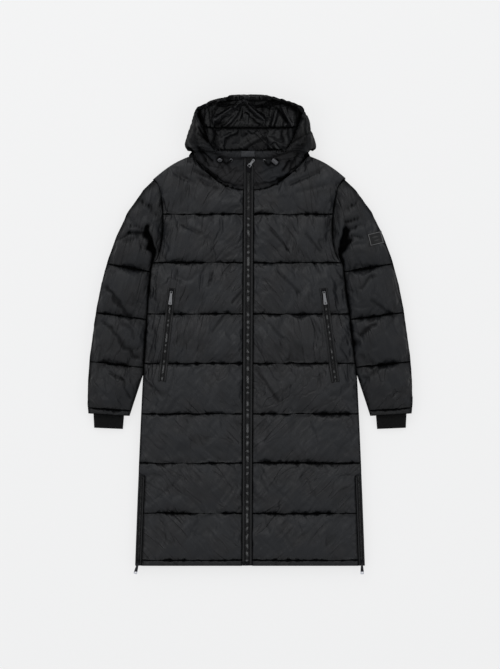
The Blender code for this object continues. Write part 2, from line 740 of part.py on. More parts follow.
def hood_side(hand):
    """Half of the hood's shell with its half of the stand collar, cut in one."""
    stations = [k / 2 for k in range(19)]
    stations[0] = 0.004
    columns, rows = len(HOOD_SHARES) - 1, len(stations) - 1

    def outer(i, j):
        return hood_point(HOOD_SHARES[i], stations[j], hand)

    name = "hood_side_left" if hand > 0 else "hood_side_right"
    inside = offset_inside(outer, columns, rows, HOOD_WALL, -hand)

    def inner(i, j):
        if i < columns:
            place = inside(i, j)
            if j == 0:
                place.x = outer(i, j).x
            return place
        # At the neck seam the shell faces down behind, sideways at the shoulder and up in front.
        turn = math.pi * hood_turn(stations[j])
        return outer(i, j) + HOOD_WALL * Vector((-hand * math.sin(turn), 0, math.cos(turn)))

    return wall(name, "shell", columns, rows, outer, inner, plain=False)


def hood_crown():
    """The hood's centre panel: from the forehead over the top, and down the back to the neck."""
    shares = (-1.0, -0.6, -0.2, 0.2, 0.6, 1.0)
    half = HOOD_SECTIONS[0][0] - SEAM_GAP
    columns, rows = len(shares) - 1, len(HOOD_SHARES) - 1

    def outer(i, j):
        edge = hood_point(HOOD_SHARES[j], 0.0, 1)
        bow = (HOOD_TOP_Y - HOOD_SECTIONS[0][4]) * (1 - shares[i] ** 2)
        bow *= 1 - ease((HOOD_SHARES[j] - 2.1) / 2.9)
        return Vector((shares[i] * half, edge.y + bow, edge.z))

    inside = offset_inside(outer, columns, rows, HOOD_WALL, 1)

    def inner(i, j):
        place = inside(i, j)
        return Vector((shares[i] * half, place.y, place.z))

    return wall("hood_crown", "shell", columns, rows, outer, inner)


def rim_half(y):
    """Half the hood's opening at level y, from the sections' rims."""
    rims = [(row[1], row[0]) for row in HOOD_SECTIONS[2:6]]
    return along_table(rims, y)


def rim_top_y(x):
    return RIM_TOP_Y - (RIM_TOP_Y - RIM_CORNER[1]) * abs(x / RIM_CORNER[0]) ** RIM_ARC


def hood_lining():
    """The lining from the forehead down to its cross seam, sunk into the hood and crumpled."""
    columns, rows = 22, 12

    def place(i, j, lift):
        u, v = 2 * i / columns - 1, j / rows
        half = mix(rim_half(LINING_SEAM_Y) - LINING_INSET, RIM_CORNER[0] - 0.006, ease(v))
        x = u * half
        y = mix(LINING_SEAM_Y + SEAM_GAP, rim_top_y(x) - LINING_INSET, v)
        open_share = (1 - abs(u) ** 5) * (1 - v**4)
        z = mix(LINING_RIM, LINING_FLOOR, open_share) + ridges(x, y, LINING_FOLDS) * open_share
        return Vector((x, y, z + lift))

    return wall(
        "hood_lining",
        "lining",
        columns,
        rows,
        lambda i, j: place(i, j, 0.0),
        lambda i, j: place(i, j, -LINING_THICK),
    )


def neck_facing():
    """Shell cloth inside the hood's base; it runs on under the collar to the back neck."""
    columns, rows = 16, len(FACING_LEVELS) - 1

    def place(i, j, lift):
        u, y = 2 * i / columns - 1, FACING_LEVELS[j]
        inside = ease((y - FACING_BEND) / 0.018)
        half = mix(FACING_HALF, rim_half(max(y, RIM_FOOT_Y)) - LINING_INSET, inside)
        edge = mix(FACING_NECK, LINING_RIM, inside)
        floor = mix(FACING_NECK, FACING_FLOOR, ease((y - NECK_Y) / 0.02))
        z = mix(floor, edge, abs(u) ** 5) + ridges(u * half, y, FACING_FOLDS) * (1 - abs(u) ** 5) * inside
        return Vector((u * half, y, z + lift))

    return wall(
        "neck_facing",
        "shell",
        columns,
        rows,
        lambda i, j: place(i, j, 0.0),
        lambda i, j: place(i, j, -LINING_THICK),
    )


def chin_guard():
    """A soft tab on the edge of the right collar, folded over the top of the zip."""
    rows = 4

    def place(i, j, z):
        return Vector((CHIN_GUARD_COLUMNS[i], mix(*CHIN_GUARD_Y, j / rows), z))

    def under(i, j):
        low, high = CHIN_GUARD_TAPE
        on_tape = low < CHIN_GUARD_COLUMNS[i] < high
        return place(i, j, ZIP_TOP_LEVEL + 0.0006 if on_tape else CHIN_GUARD_LEVEL)

    def over(i, j):
        fall = CHIN_GUARD_CROWN * (2 * j / rows - 1) ** 2
        return place(i, j, CHIN_GUARD_LEVEL + CHIN_GUARD_THICK - fall)

    return wall("chin_guard", "shell", len(CHIN_GUARD_COLUMNS) - 1, rows, over, under)


# ---- zips


def strip(name, finish, path, left, right, low, high, crown=0.0):
    """A strip along a path of (x, y, z) points, between two distances across it and two heights."""
    shares = (0.0, 0.25, 0.75, 1.0) if crown else (0.0, 1.0)

    def place(i, j, lift):
        point, before, after = path[j], path[max(j - 1, 0)], path[min(j + 1, len(path) - 1)]
        run = (after - before).normalized()
        across = run.cross(Vector((0, 0, 1))).normalized()
        up = across.cross(run)
        rise = crown if 0 < i < len(shares) - 1 and lift == high else 0.0
        return point + across * mix(left, right, shares[i]) + up * (lift + rise)

    return wall(
        name,
        finish,
        len(shares) - 1,
        len(path) - 1,
        lambda i, j: place(i, j, high),
        lambda i, j: place(i, j, low),
    )


def zip_path(low_y, high_y):
    """Points up the centre-front zip, closer together where it climbs the collar."""
    climb = [FRONT_NECK_Y + k * (ZIP_TOP_Y - FRONT_NECK_Y) / 8 for k in range(9)]
    levels = [low_y] + [y for y in climb if low_y < y < high_y] + [high_y]
    return [Vector((zip_x(y), y, zip_level(y))) for y in levels]


def front_zip():
    """Two tapes beside the fronts, with the coil where the zip is closed, up to the slider."""
    tapes = zip_path(HEM_Y + 0.001, ZIP_TOP_Y)
    inner = 0.0006
    left = strip("zip_tape_left", "tape", tapes, inner, ZIP_HALF - 0.0004, -TAPE_THICK, 0.0)
    right = strip("zip_tape_right", "tape", tapes, 0.0004 - ZIP_HALF, -inner, -TAPE_THICK, 0.0)
    coil = zip_path(HEM_Y + 0.014, HINGE_Y - FRONT_SLIDER[1] - 0.0015)
    strip("zip_coil", "coil", coil, -COIL_HALF, COIL_HALF, 0.0003, 0.0011, crown=COIL_THICK - 0.0011)
    return left, right


def slider(name, frame, half_wide, behind, ahead):
    """A slider's body, thinner at both ends, with the bridge that its pull hangs in."""
    xs = (-half_wide, -BRIDGE_HALF, BRIDGE_HALF, half_wide)
    bridge = (-BRIDGE_OUTER, -BRIDGE_INNER, BRIDGE_INNER, BRIDGE_OUTER)
    ys = (-behind, SLIDER_NOSE - behind, *bridge, ahead - SLIDER_NOSE, ahead)
    bm = bmesh.new()
    bmesh.ops.create_grid(bm, x_segments=3, y_segments=7, size=0.5)
    for v in bm.verts:
        column, row = round((v.co.x + 0.5) * 3), round((v.co.y + 0.5) * 7)
        thick = SLIDER_THICK - (SLIDER_NOSE if row in (0, 7) else 0.0)
        taper = mix(0.82, 1.0, row / 7) if column in (0, 3) else 1.0
        v.co = (xs[column] * taper, ys[row], thick)
    made = bmesh.ops.extrude_face_region(bm, geom=bm.faces[:])
    for g in made["geom"]:
        if isinstance(g, bmesh.types.BMVert):
            g.co.z = 0.0
    bmesh.ops.recalc_face_normals(bm, faces=bm.faces[:])
    # Two posts stand on the body, and their heads are joined into the bridge.
    middle = (BRIDGE_INNER + BRIDGE_OUTER) / 2
    grown = [
        f
        for f in bm.faces
        if f.normal.z > 0.9
        and abs(f.calc_center_median().x) < BRIDGE_HALF / 2
        and abs(abs(f.calc_center_median().y) - middle) < 0.0003
    ]
    for height in (BRIDGE_UNDER, BRIDGE_TOP - BRIDGE_UNDER):
        grown = bmesh.ops.extrude_discrete_faces(bm, faces=grown)["faces"]
        bmesh.ops.translate(bm, verts=[v for f in grown for v in f.verts], vec=(0, 0, height))
    bm.normal_update()
    facing = [
        f
        for f in bm.faces
        if f.calc_center_median().z > SLIDER_THICK + BRIDGE_UNDER
        and abs(f.normal.y) > 0.9
        and abs(f.calc_center_median().y) < middle
    ]
    edges = list(dict.fromkeys(e for f in facing for e in f.edges))
    bmesh.ops.delete(bm, geom=facing, context="FACES_ONLY")
    bmesh.ops.bridge_loops(bm, edges=edges)
    bmesh.ops.triangulate(bm, faces=bm.faces[:])
    piece = add(name, "dark_metal", bm)
    piece.matrix_world = frame
    return piece


def pull(name, frame, length, tail, window_half, below):
    """A pull tab on its slider's bridge. Its origin is the hinge, X is the hinge's axis and Y
    points along the tab. It leans until it rests on the cloth below it or on its slider."""
    head = window_half + 0.0014
    corner = 0.0012
    outline = arc(-head + corner, -HINGE_BAR + corner, corner, 180, 270, 2)
    outline += arc(head - corner, -HINGE_BAR + corner, corner, 270, 360, 2)
    outline += [(head, WINDOW_END), (tail[0], WINDOW_END + 0.0035)]
    outline += arc(tail[1] - 0.002, length - 0.002, 0.002, 0, 90, 3)
    outline += [(-x, y) for x, y in outline[:5:-1]]
    far = WINDOW_END - 0.0012
    window = [(-window_half, HINGE_BAR), (window_half, HINGE_BAR), (window_half, far), (-window_half, far)]
    tip = arc(0, length - 0.0045, PULL_HOLE, 0, 315, 7)
    bm = bmesh.new()
    for loop in (outline, window, tip):
        ring = [bm.verts.new((x, y, -PULL_THICK / 2)) for x, y in loop]
        for a, b in zip(ring, ring[1:] + ring[:1]):
            bm.edges.new((a, b))
    bmesh.ops.triangle_fill(bm, use_beauty=True, use_dissolve=False, edges=bm.edges[:])
    made = bmesh.ops.extrude_face_region(bm, geom=bm.faces[:])
    raised = [g for g in made["geom"] if isinstance(g, bmesh.types.BMVert)]
    bmesh.ops.translate(bm, verts=raised, vec=(0, 0, PULL_THICK))
    bmesh.ops.triangulate(bm, faces=bm.faces[:])
    lean = -PULL_DROP
    for share in (0.35, 0.5, 0.65, 0.8, 0.9, 1.0):
        for x in (-tail[1], 0.0, tail[1]):
            spot = frame @ Vector((x, length * share, 0))
            for over in below:
                place = over(spot.x, spot.y)
                if place is not None:
                    rise = (frame.inverted() @ place).z + PULL_THICK / 2 + PULL_CLEAR
                    lean = max(lean, math.atan2(rise, length * share))
    piece = add(name, "metal", bm)
    piece.matrix_world = frame @ Matrix.Rotation(lean, 4, "X")
    return piece


def hinge(frame, direction):
    """The frame of a pull's hinge in the slider's bridge, with Y along the pull."""
    place = frame @ Vector((0, 0, SLIDER_THICK + HINGE_RISE))
    return stand(place, direction, frame.col[2].to_3d())


def front_slider(collar, tapes):
    """The front zip's slider, closed to below the chin, with its pull lying on the collar."""
    _, behind, ahead = FRONT_SLIDER
    low, high = (Vector((zip_x(y), y, zip_level(y))) for y in (HINGE_Y - behind, HINGE_Y + ahead))
    run = (high - low).normalized()
    place = low.lerp(high, behind / (behind + ahead)) + Vector((0, 0, FRONT_SLIDER_LIFT))
    frame = stand(place, run, Vector((1, 0, 0)).cross(run).normalized())
    slider("zip_slider", frame, *FRONT_SLIDER)
    turn = math.radians(FRONT_PULL_TURN)
    direction = Vector((math.cos(turn), math.sin(turn), 0))
    below = [top_of(piece) for piece in (collar, *tapes)]
    pull("zip_pull", hinge(frame, direction), FRONT_PULL_LENGTH, FRONT_PULL_TAIL, FRONT_WINDOW, below)
    # The box that holds the zip's lower end together.
    box = [Vector((BOX_X, y, ZIP_LEVEL + 0.0003)) for y in BOX_Y]
    strip("zip_box", "dark_metal", box, -BOX_HALF, BOX_HALF, 0.0, 0.003, crown=0.001)


def pocket(hand, panel):
    """A closed hand pocket: its zip strip on the front, its slider at the top and the pull."""
    side = "left" if hand > 0 else "right"
    (top_d, top_y), (end_d, end_y) = POCKETS[hand]
    inside = [body_level(k, w) for k, w in BODY_ROWS]
    levels = [end_y] + [y for y in inside if end_y + 0.004 < y < top_y - 0.004] + [top_y]

    def plan(i, j):
        d = mix(top_d, end_d, (top_y - levels[j]) / (top_y - end_y))
        return hand * (d + POCKET_STRIP * (i / 4 - 0.5)), levels[j]

    name = f"pocket_zip_{side}"
    zipped = patch_on(name, "tape", panel, 4, len(levels) - 1, plan, 0.0027, STRIP_CLEAR, TAPE_THICK)
    over = top_of(zipped)
    down = Vector((hand * (end_d - top_d), end_y - top_y, 0)).normalized()
    centre = Vector((hand * top_d, top_y, 0)) + down * 0.0085
    frame = seat(over, centre.x, centre.y, -down, SLIDER_REACH, 0.0003)
    slider(f"pocket_slider_{side}", frame, *SLIDER)
    below = [over, top_of(panel)]
    pull(f"pocket_pull_{side}", hinge(frame, down), PULL_LENGTH, PULL_TAIL, PULL_WINDOW, below)


def vent(hand):
    """The zip along the side vent, closed to the hem, with its pull lying out past the hem."""
    side = "left" if hand > 0 else "right"
    half = VENT_STRIP / 2 - 0.0002
    levels = [mix(VENT_TOP_Y - 0.008, HEM_Y + 0.004, k / 5) for k in range(6)]
    path = [Vector((hand * (side_x(y, hand) - half), y, FRONT_BASE)) for y in levels]
    zipped = strip(f"side_zip_{side}", "tape", path, -half, half, 0.0, VENT_THICK)
    over = top_of(zipped)
    down = (path[-1] - path[-2]).normalized()
    centre = path[-1] - down * 0.0068
    frame = seat(over, centre.x, centre.y, -down, SLIDER_REACH, 0.0003)
    slider(f"side_slider_{side}", frame, *SLIDER)
    swing = Matrix.Rotation(math.radians(SIDE_PULL_SWING[hand]), 3, "Z")
    pull(f"side_pull_{side}", hinge(frame, swing @ down), SIDE_PULL_LENGTH, PULL_TAIL, PULL_WINDOW, [over])


def patch(panel):
    """A bare cloth patch sewn to the wearer's left sleeve."""
    turn = math.radians(PATCH_TURN)

    def plan(i, j):
        u, v = (i / 6 - 0.5) * PATCH_SIZE[0], (j / 6 - 0.5) * PATCH_SIZE[1]
        x = PATCH_AT[0] + u * math.cos(turn) - v * math.sin(turn)
        return x, PATCH_AT[1] + u * math.sin(turn) + v * math.cos(turn)

    patch_on("sleeve_patch", "patch", panel, 6, 6, plan, 0.003, 0.0009, 0.0012)


# ---- drawcords


def drawcord(hand, collar):
    """An eyelet in the collar, the cord that comes out of it, and the stop on the cord."""
    side = "left" if hand > 0 else "right"
    over = top_of(collar)
    eyelet_at, *route = CORD_ROUTES[hand]
    frame = seat(over, *eyelet_at, Vector((0, 1, 0)), EYELET_RADIUS, 0.0003)

    def washer(i, j, lift):
        turn = 2 * math.pi * (i % EYELET_SIDES) / EYELET_SIDES
        radius = (EYELET_HOLE, EYELET_HOLE + 0.0006, EYELET_RADIUS - 0.0008, EYELET_RADIUS)[j]
        z = lift * (1.0 if j in (1, 2) else 0.55)
        return frame @ Vector((radius * math.cos(turn), radius * math.sin(turn), z))

    wall(
        f"eyelet_{side}",
        "dark_metal",
        EYELET_SIDES,
        3,
        lambda i, j: washer(i, j, EYELET_THICK),
        lambda i, j: washer(i, j, 0.0),
        ring=True,
    )
    points = [frame @ Vector((0, 0, 0.0008)), frame @ Vector((0, 0, 0.0045))]
    for x, y, lift in route:
        points.append(over(x, y) + Vector((0, 0, lift)))
    curve = bpy.data.curves.new(f"drawcord_{side}", "CURVE")
    curve.dimensions = "3D"
    curve.bevel_depth = CORD_RADIUS
    curve.bevel_resolution = 2
    curve.use_fill_caps = True
    steps = [through([list(p) for p in points], k / 2) for k in range(2 * len(points) - 1)]
    spline = curve.splines.new("POLY")
    spline.points.add(len(steps) - 1)
    for point, place in zip(spline.points, steps):
        point.co = (*place, 1)
    cord = bpy.data.objects.new(curve.name, curve)
    bpy.context.collection.objects.link(cord)
    paint(cord, "cord")
    # The stop: a barrel with a sprung plunger in its upper end.
    x, y, radius, run = CORD_STOPS[hand]
    if run is None:
        stop = seat(over, x, y, Vector((0, 1, 0)), radius, 0.0004)
    else:
        lying = seat(over, x, y, Vector(run), radius, 0.0004)
        lying.translation = lying @ Vector((0, -STOP_LENGTH / 2, STOP_THIN))
        stop = lying @ Matrix.Rotation(-math.pi / 2, 4, "X")
    barrel(f"cord_stop_{side}", stop)


def barrel(name, frame):
    """A stop's barrel: an oval turned body with a round socket sunk in its upper end."""
    bm = bmesh.new()
    line = [bm.verts.new((r * STOP_WIDE, 0, z * STOP_LENGTH)) for r, z in STOP_PROFILE]
    edges = [bm.edges.new((a, b)) for a, b in zip(line, line[1:])]
    bmesh.ops.spin(
        bm,
        geom=line + edges,
        cent=(0, 0, 0),
        axis=(0, 0, 1),
        angle=2 * math.pi,
        steps=14,
        use_merge=True,
    )
    bmesh.ops.remove_doubles(bm, verts=bm.verts[:], dist=1e-6)
    bmesh.ops.scale(bm, verts=bm.verts[:], vec=(1, STOP_THIN / STOP_WIDE, 1))
    bmesh.ops.triangulate(bm, faces=bm.faces[:])
    piece = add(name, "dark_metal", bm)
    piece.matrix_world = frame
    return piece


def build():
    collars = {}
    for hand in (1, -1):
        panel = front_panel(hand)
        padded = sleeve(hand)
        cuff(hand)
        collars[hand] = hood_side(hand)
        pocket(hand, panel)
        vent(hand)
        drawcord(hand, collars[hand])
        if hand > 0:
            patch(padded)
    back_panel()
    hood_crown()
    hood_lining()
    neck_facing()
    chin_guard()
    front_slider(collars[1], front_zip())


build()
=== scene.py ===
"""A long hooded puffer coat in black nylon, zipped to the chin and laid flat on its back.

Metres, in the frame of the solids: +X is towards the wearer's left, +Y towards the hood, +Z up from
the surface that the coat lies on. "hand" is +1 on the wearer's left and -1 on the right.
"""

import math

import bmesh
import bpy
from mathutils import Matrix, Vector, noise
from mathutils.bvhtree import BVHTree


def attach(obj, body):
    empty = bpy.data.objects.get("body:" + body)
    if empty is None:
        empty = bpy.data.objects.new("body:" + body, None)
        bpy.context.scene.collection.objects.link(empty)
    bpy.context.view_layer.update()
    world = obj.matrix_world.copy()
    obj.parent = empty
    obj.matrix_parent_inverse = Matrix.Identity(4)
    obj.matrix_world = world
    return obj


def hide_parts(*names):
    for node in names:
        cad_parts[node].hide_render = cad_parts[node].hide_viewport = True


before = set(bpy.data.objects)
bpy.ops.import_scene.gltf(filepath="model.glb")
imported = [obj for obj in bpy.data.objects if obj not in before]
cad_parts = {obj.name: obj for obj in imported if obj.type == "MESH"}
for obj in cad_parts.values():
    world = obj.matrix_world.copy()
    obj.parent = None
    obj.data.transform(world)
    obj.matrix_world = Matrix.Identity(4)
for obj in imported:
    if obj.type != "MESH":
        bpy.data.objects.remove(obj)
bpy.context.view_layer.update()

# ---- The table
# A white table in a studio, lit through from below. A long lens looks straight down at it, wide
# soft boxes light the cloth from beyond the hood and from the sides, and the room fills the shadows.
FRAME_WIDE = 1.35  # how much of the table the camera sees from side to side
FRAME_TALL = FRAME_WIDE * 669 / 500
LENS = 170.0  # millimetres, as is the sensor
SENSOR = 36.0
TABLE_HALF = 6.0
TABLE_DROP = 0.0006  # keeps the table's face clear of the coat's underside
TABLE_GREY = (0.20, 0.20, 0.20, 1)
TABLE_GLOW = 0.705
SOFT_BOXES = (  # name, place, side, watts
    ("hood_side_box", (-0.8, 3.0, 2.6), 2.8, 42.0),
    ("left_box", (2.2, 0.4, 3.2), 1.6, 9.0),
    ("right_box", (-2.2, 0.2, 3.2), 1.6, 9.0),
)
ROOM_TINT = (0.95, 0.97, 1.0, 1)
ROOM_LIGHT = 0.625


def new_object(name, data):
    made = bpy.data.objects.new(name, data)
    bpy.context.collection.objects.link(made)
    return made


bm = bmesh.new()
bmesh.ops.create_grid(bm, x_segments=2, y_segments=2, size=TABLE_HALF)
bmesh.ops.translate(bm, verts=bm.verts[:], vec=(0, 0, -TABLE_DROP))
floor_mesh = bpy.data.meshes.new("table")
bm.to_mesh(floor_mesh)
bm.free()
floor = new_object("table", floor_mesh)
paper = bpy.data.materials.new("table_paper")
paper.use_nodes = True
finish = paper.node_tree.nodes["Principled BSDF"].inputs
finish["Base Color"].default_value = TABLE_GREY
finish["Roughness"].default_value = 0.9
finish["Emission Color"].default_value = (1, 1, 1, 1)
finish["Emission Strength"].default_value = TABLE_GLOW
floor_mesh.materials.append(paper)

view = bpy.data.cameras.new("overhead")
view.lens = LENS
view.sensor_width = SENSOR
camera = new_object("overhead", view)
camera.location = (0, 0, FRAME_TALL * LENS / SENSOR)
bpy.context.scene.camera = camera

for name, place, size, power in SOFT_BOXES:
    light = bpy.data.lights.new(name, "AREA")
    light.shape = "SQUARE"
    light.size = size
    light.energy = power
    lamp = new_object(name, light)
    lamp.location = place
    lamp.rotation_euler = (-Vector(place)).to_track_quat("-Z", "Y").to_euler()

room = bpy.data.worlds.new("room")
room.use_nodes = True
room.node_tree.nodes["Background"].inputs["Color"].default_value = ROOM_TINT
room.node_tree.nodes["Background"].inputs["Strength"].default_value = ROOM_LIGHT
bpy.context.scene.world = room
bpy.context.scene.view_settings.view_transform = "Standard"

# ---- Drawcords
# A thin braided polyester cord comes out of a gunmetal eyelet on each side of the collar and runs
# into its stop. Its knot is out of sight in the stop, and the rest of it in the hood's hem.
SIDES = {1: "left", -1: "right"}


def mix(a, b, t):
    return a + (b - a) * t


def clamp(value, low=0.0, high=1.0):
    return max(low, min(high, value))


def ease(t):
    t = clamp(t)
    return t * t * (3 - 2 * t)


class Wire:
    """A socket in a material. Sums between wires and numbers add their Math nodes."""

    def __init__(self, tree, socket=None):
        self.tree = tree
        self.socket = socket

    def node(self, kind, settings=(), sockets=(), out=0):
        made = self.tree.nodes.new("ShaderNode" + kind)
        for key, value in dict(settings).items():
            setattr(made, key, value)
        for key, value in dict(sockets).items():
            if isinstance(value, Wire):
                self.tree.links.new(value.socket, made.inputs[key])
            else:
                made.inputs[key].default_value = value
        return Wire(self.tree, made.outputs[out])

    def maths(self, operation, *values):
        return self.node("Math", {"operation": operation}, enumerate(values))

    def __add__(self, other):
        return self.maths("ADD", self, other)

    def __sub__(self, other):
        return self.maths("SUBTRACT", self, other)

    def __rsub__(self, other):
        return self.maths("SUBTRACT", other, self)

    def __mul__(self, other):
        return self.maths("MULTIPLY", self, other)

    def __truediv__(self, other):
        return self.maths("DIVIDE", self, other)

    def __abs__(self):
        return self.maths("ABSOLUTE", self)

    __radd__ = __add__
    __rmul__ = __mul__

    def rises(self, start, end, low=0.0, high=1.0, curve="LINEAR"):
        """Low up to start and high from end on."""
        span = {"From Min": start, "From Max": end, "To Min": low, "To Max": high}
        return self.node("MapRange", {"interpolation_type": curve}, {"Value": self, **span})

    def near(self, width):
        """1 where this is 0, falling smoothly to 0 at width."""
        return self.rises(0.0, width, 1.0, 0.0, "SMOOTHSTEP")

    def axis(self, k):
        """x, y or z of a vector, for k = 0, 1 or 2."""
        return self.node("SeparateXYZ", (), {"Vector": self}, out=k)

    def clouds(self, scale, **more):
        """Soft noise over a place."""
        return self.node("TexNoise", (), {"Vector": self, "Scale": scale, **more})

    def grey(self, blue=1.0):
        """A colour as light as this number, with its blue stronger by a factor."""
        return self.node("CombineColor", (), {"Red": self, "Green": self, "Blue": self * blue})


def fabric(name, roughness, gloss=0.5, metallic=0.0):
    """A new material, its shader's node, and the place on the piece that its pattern follows."""
    material = bpy.data.materials.new(name)
    material.use_nodes = True
    shader = material.node_tree.nodes["Principled BSDF"]
    shader.inputs["Roughness"].default_value = roughness
    shader.inputs["Specular IOR Level"].default_value = gloss
    shader.inputs["Metallic"].default_value = metallic
    return material, shader, Wire(material.node_tree).node("TexCoord", out=3)


def feed(shader, name, value):
    value.tree.links.new(value.socket, shader.inputs[name])


def emboss(shader, height, distance=1.0):
    """Gives the surface relief without moving it."""
    feed(shader, "Normal", height.node("Bump", (), {"Distance": distance, "Height": height}))


def through(rows, at):
    """A smooth curve through rows of numbers, one row for each whole value of at."""
    last = len(rows) - 1
    k = min(int(at), last - 1)
    t = at - k
    before, a, b, after = (rows[clamp(n, 0, last)] for n in (k - 1, k, k + 1, k + 2))
    return [
        0.5
        * (
            2 * q
            + (r - p) * t
            + (2 * p - 5 * q + 4 * r - s) * t**2
            + (3 * q - p - 3 * r + s) * t**3
        )
        for p, q, r, s in zip(before, a, b, after)
    ]


CORD_RADIUS = 0.0015
CORD_ROUTES = {
    1: (
        (0.0384, 0.4654, 0.0641), (0.0380, 0.4649, 0.0658), (0.0381, 0.4639, 0.0675),
        (0.0399, 0.4623, 0.0677), (0.0425, 0.4600, 0.0667), (0.0455, 0.4564, 0.0634),
        (0.0485, 0.4536, 0.0604), (0.0506, 0.4537, 0.0604), (0.0527, 0.4555, 0.0618),
        (0.0556, 0.4589, 0.0647), (0.0580, 0.4620, 0.0674),
    ),
    -1: (
        (-0.0505, 0.4669, 0.0653), (-0.0501, 0.4664, 0.0670), (-0.0503, 0.4654, 0.0687),
        (-0.0525, 0.4642, 0.0691), (-0.0555, 0.4625, 0.0684), (-0.0584, 0.4598, 0.0654),
        (-0.0614, 0.4577, 0.0625), (-0.0646, 0.4580, 0.0624), (-0.0680, 0.4600, 0.0638),
        (-0.0719, 0.4642, 0.0671), (-0.0750, 0.4681, 0.0703),
    ),
}


def braid():
    material, shader, place = fabric("cord_braid", 0.8, gloss=0.08)
    plait = place.node("TexVoronoi", (), {"Vector": place, "Scale": 1500.0})
    feed(shader, "Base Color", (0.0005 + plait * 0.0025).grey(1.05))
    emboss(shader, plait, 0.0003)
    return material


cord_braid = braid()
for hand, side in SIDES.items():
    line = bpy.data.curves.new(f"collar_cord_{side}", "CURVE")
    line.dimensions = "3D"
    line.bevel_depth = CORD_RADIUS
    line.bevel_resolution = 4
    line.use_fill_caps = True
    route = CORD_ROUTES[hand]
    points = [through(route, k / 2) for k in range(2 * len(route) - 1)]
    spline = line.splines.new("POLY")
    spline.points.add(len(points) - 1)
    for point, place in zip(spline.points, points):
        point.co = (*place, 1)
    line.materials.append(cord_braid)
    piece = new_object(line.name, line)
    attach(piece, "coat")
    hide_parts(f"drawcord_{side}")
    length = sum((Vector(b) - Vector(a)).length for a, b in zip(points, points[1:]))
    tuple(points[0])

# ---- Shell cloth
# Plain black nylon, faintly blue, with a soft sheen. It is cut into panels, padded, and quilted
# across with lockstitch, which gathers it into short puckers.
PAINTED_SHADE_REACH = 0.006  # how far the painted shade of a deep seam or fold reaches beside it
# the distance that leaves a point without painted shade
FAR_FROM_PAINTED_SHADE = 0.05
NYLON_SHADE = 0.0102
CREASE_RUNS = ((0.78, 0.62), (0.97, 0.24), (0.72, -0.69))  # on the chest, beyond it, low on the skirt


def paint_black_shade(shader, dark):
    """Mixes in a black that gives no light back: painted shade for the depth of seams and folds."""
    plain = {"Base Color": (0.001, 0.001, 0.001, 1), "Roughness": 1.0, "Specular IOR Level": 0.0}
    shade_black = dark.node("BsdfPrincipled", (), plain)
    cloth_side = Wire(dark.tree, shader.outputs[0])
    sunk = dark.node("MixShader", (), {0: dark, 1: cloth_side, 2: shade_black})
    feed(dark.tree.nodes["Material Output"], "Surface", sunk)


def stitching(place):
    """What cloth() leaves on its points: x, y and how far each is from a line of stitches."""
    cut = place.node("Attribute", {"attribute_name": "cut"}, out=1)
    return [cut.axis(k) for k in range(3)]


def painted_shade_distance(place):
    """How far each point is from painted shade; the nearer, the blacker it is painted."""
    return place.node("Attribute", {"attribute_name": "border"}, out=2)


def shell_nylon(name="shell_nylon", level=1.0, above=1.0, gloss=0.33, blue=1.0, mirrored=True):
    """Level is how much lighter or darker this copy of the cloth is painted, painted light or shade
    for where it lies, and above is its share of that above the collar. The creases of mirrored
    cloth run outwards on both sides."""
    material, shader, place = fabric(name, 0.46, gloss)
    across, along, off = stitching(place)
    mottle = place.clouds(24.0, Detail=4.0, Roughness=0.6)
    grain = place.clouds(700.0, Detail=1.0)
    patchy = place.clouds(15.0, Detail=1.0)
    # The stitched line is mixed with black below and sunk in relief: painted shade in its groove.
    stitch_line = off.near(0.0027)
    drawn = off.near(0.015)
    stretched = {"X": across * 130.0, "Y": along * 34.0, "Z": along * 4.0}
    pucker = place.node("CombineXYZ", (), stretched).clouds(1.0, Detail=2.0, Distortion=0.5)
    # Creases run down and outwards from the front zip on the chest, more steeply beyond it, and down
    # and inwards below the pockets.
    out = abs(across) if mirrored else across
    soft, sharp = [], []
    for cos, sin in CREASE_RUNS:
        cross, run = out * cos + along * sin, out * sin - along * cos
        for many, wide, long in ((soft, 62.0, 15.0), (sharp, 36.0, 6.5)):
            spot = place.node("CombineXYZ", (), {"X": cross * wide, "Y": run * long})
            many.append(spot.clouds(1.0, Detail=1.0, Distortion=0.3))
    beyond = out.rises(0.05, 0.17)
    below = along.rises(-0.08, -0.20)
    crease, fold = ((a + (b - a) * beyond) * (1 - below) + c * below for a, b, c in (soft, sharp))
    there = patchy.rises(0.42, 0.58)
    line = abs(fold - 0.49).near(0.040) * there
    ridge = abs(fold - 0.55).near(0.050) * there
    height = (pucker - 0.5) * drawn * 0.0046 + (mottle - 0.5) * 0.0012 + (crease - 0.5) * 0.0050
    height = height - line * 0.0010 + ridge * 0.0006 + (grain - 0.5) * 0.00004 - stitch_line * 0.0012
    emboss(shader, height)
    feed(shader, "Roughness", 0.42 + mottle * 0.14 + grain * 0.03)
    # Painted light and shade: lighter on the creases' tops and ridges and darker in their valleys,
    # darker beside the stitched lines and in the puckers' hollows there, and lighter or darker by level
    # below and above the collar.
    shade = 0.58 + mottle * 0.36 + crease * 0.44 + ridge * 0.12
    shade = shade * (1 - drawn * (1 - pucker) * 0.75) * (1 - off.near(0.026) * 0.18)
    shade = shade * (1 - line * 0.45) * along.rises(0.480, 0.520, level, level * above)
    warm = patchy.rises(0.42, 0.6) * 0.0008
    tint = {
        "Red": shade * (warm + NYLON_SHADE - 0.0008 * blue),
        "Green": shade * NYLON_SHADE,
        "Blue": shade * (NYLON_SHADE + 0.0018 * blue - warm),
    }
    feed(shader, "Base Color", place.node("CombineColor", (), tint))
    # Painted black shade in deep seams, folds and the stitched lines.
    paint_black_shade(shader, place.maths("MAXIMUM", painted_shade_distance(place).near(PAINTED_SHADE_REACH) * 0.97, stitch_line * 0.9))
    return material


nylon = shell_nylon()

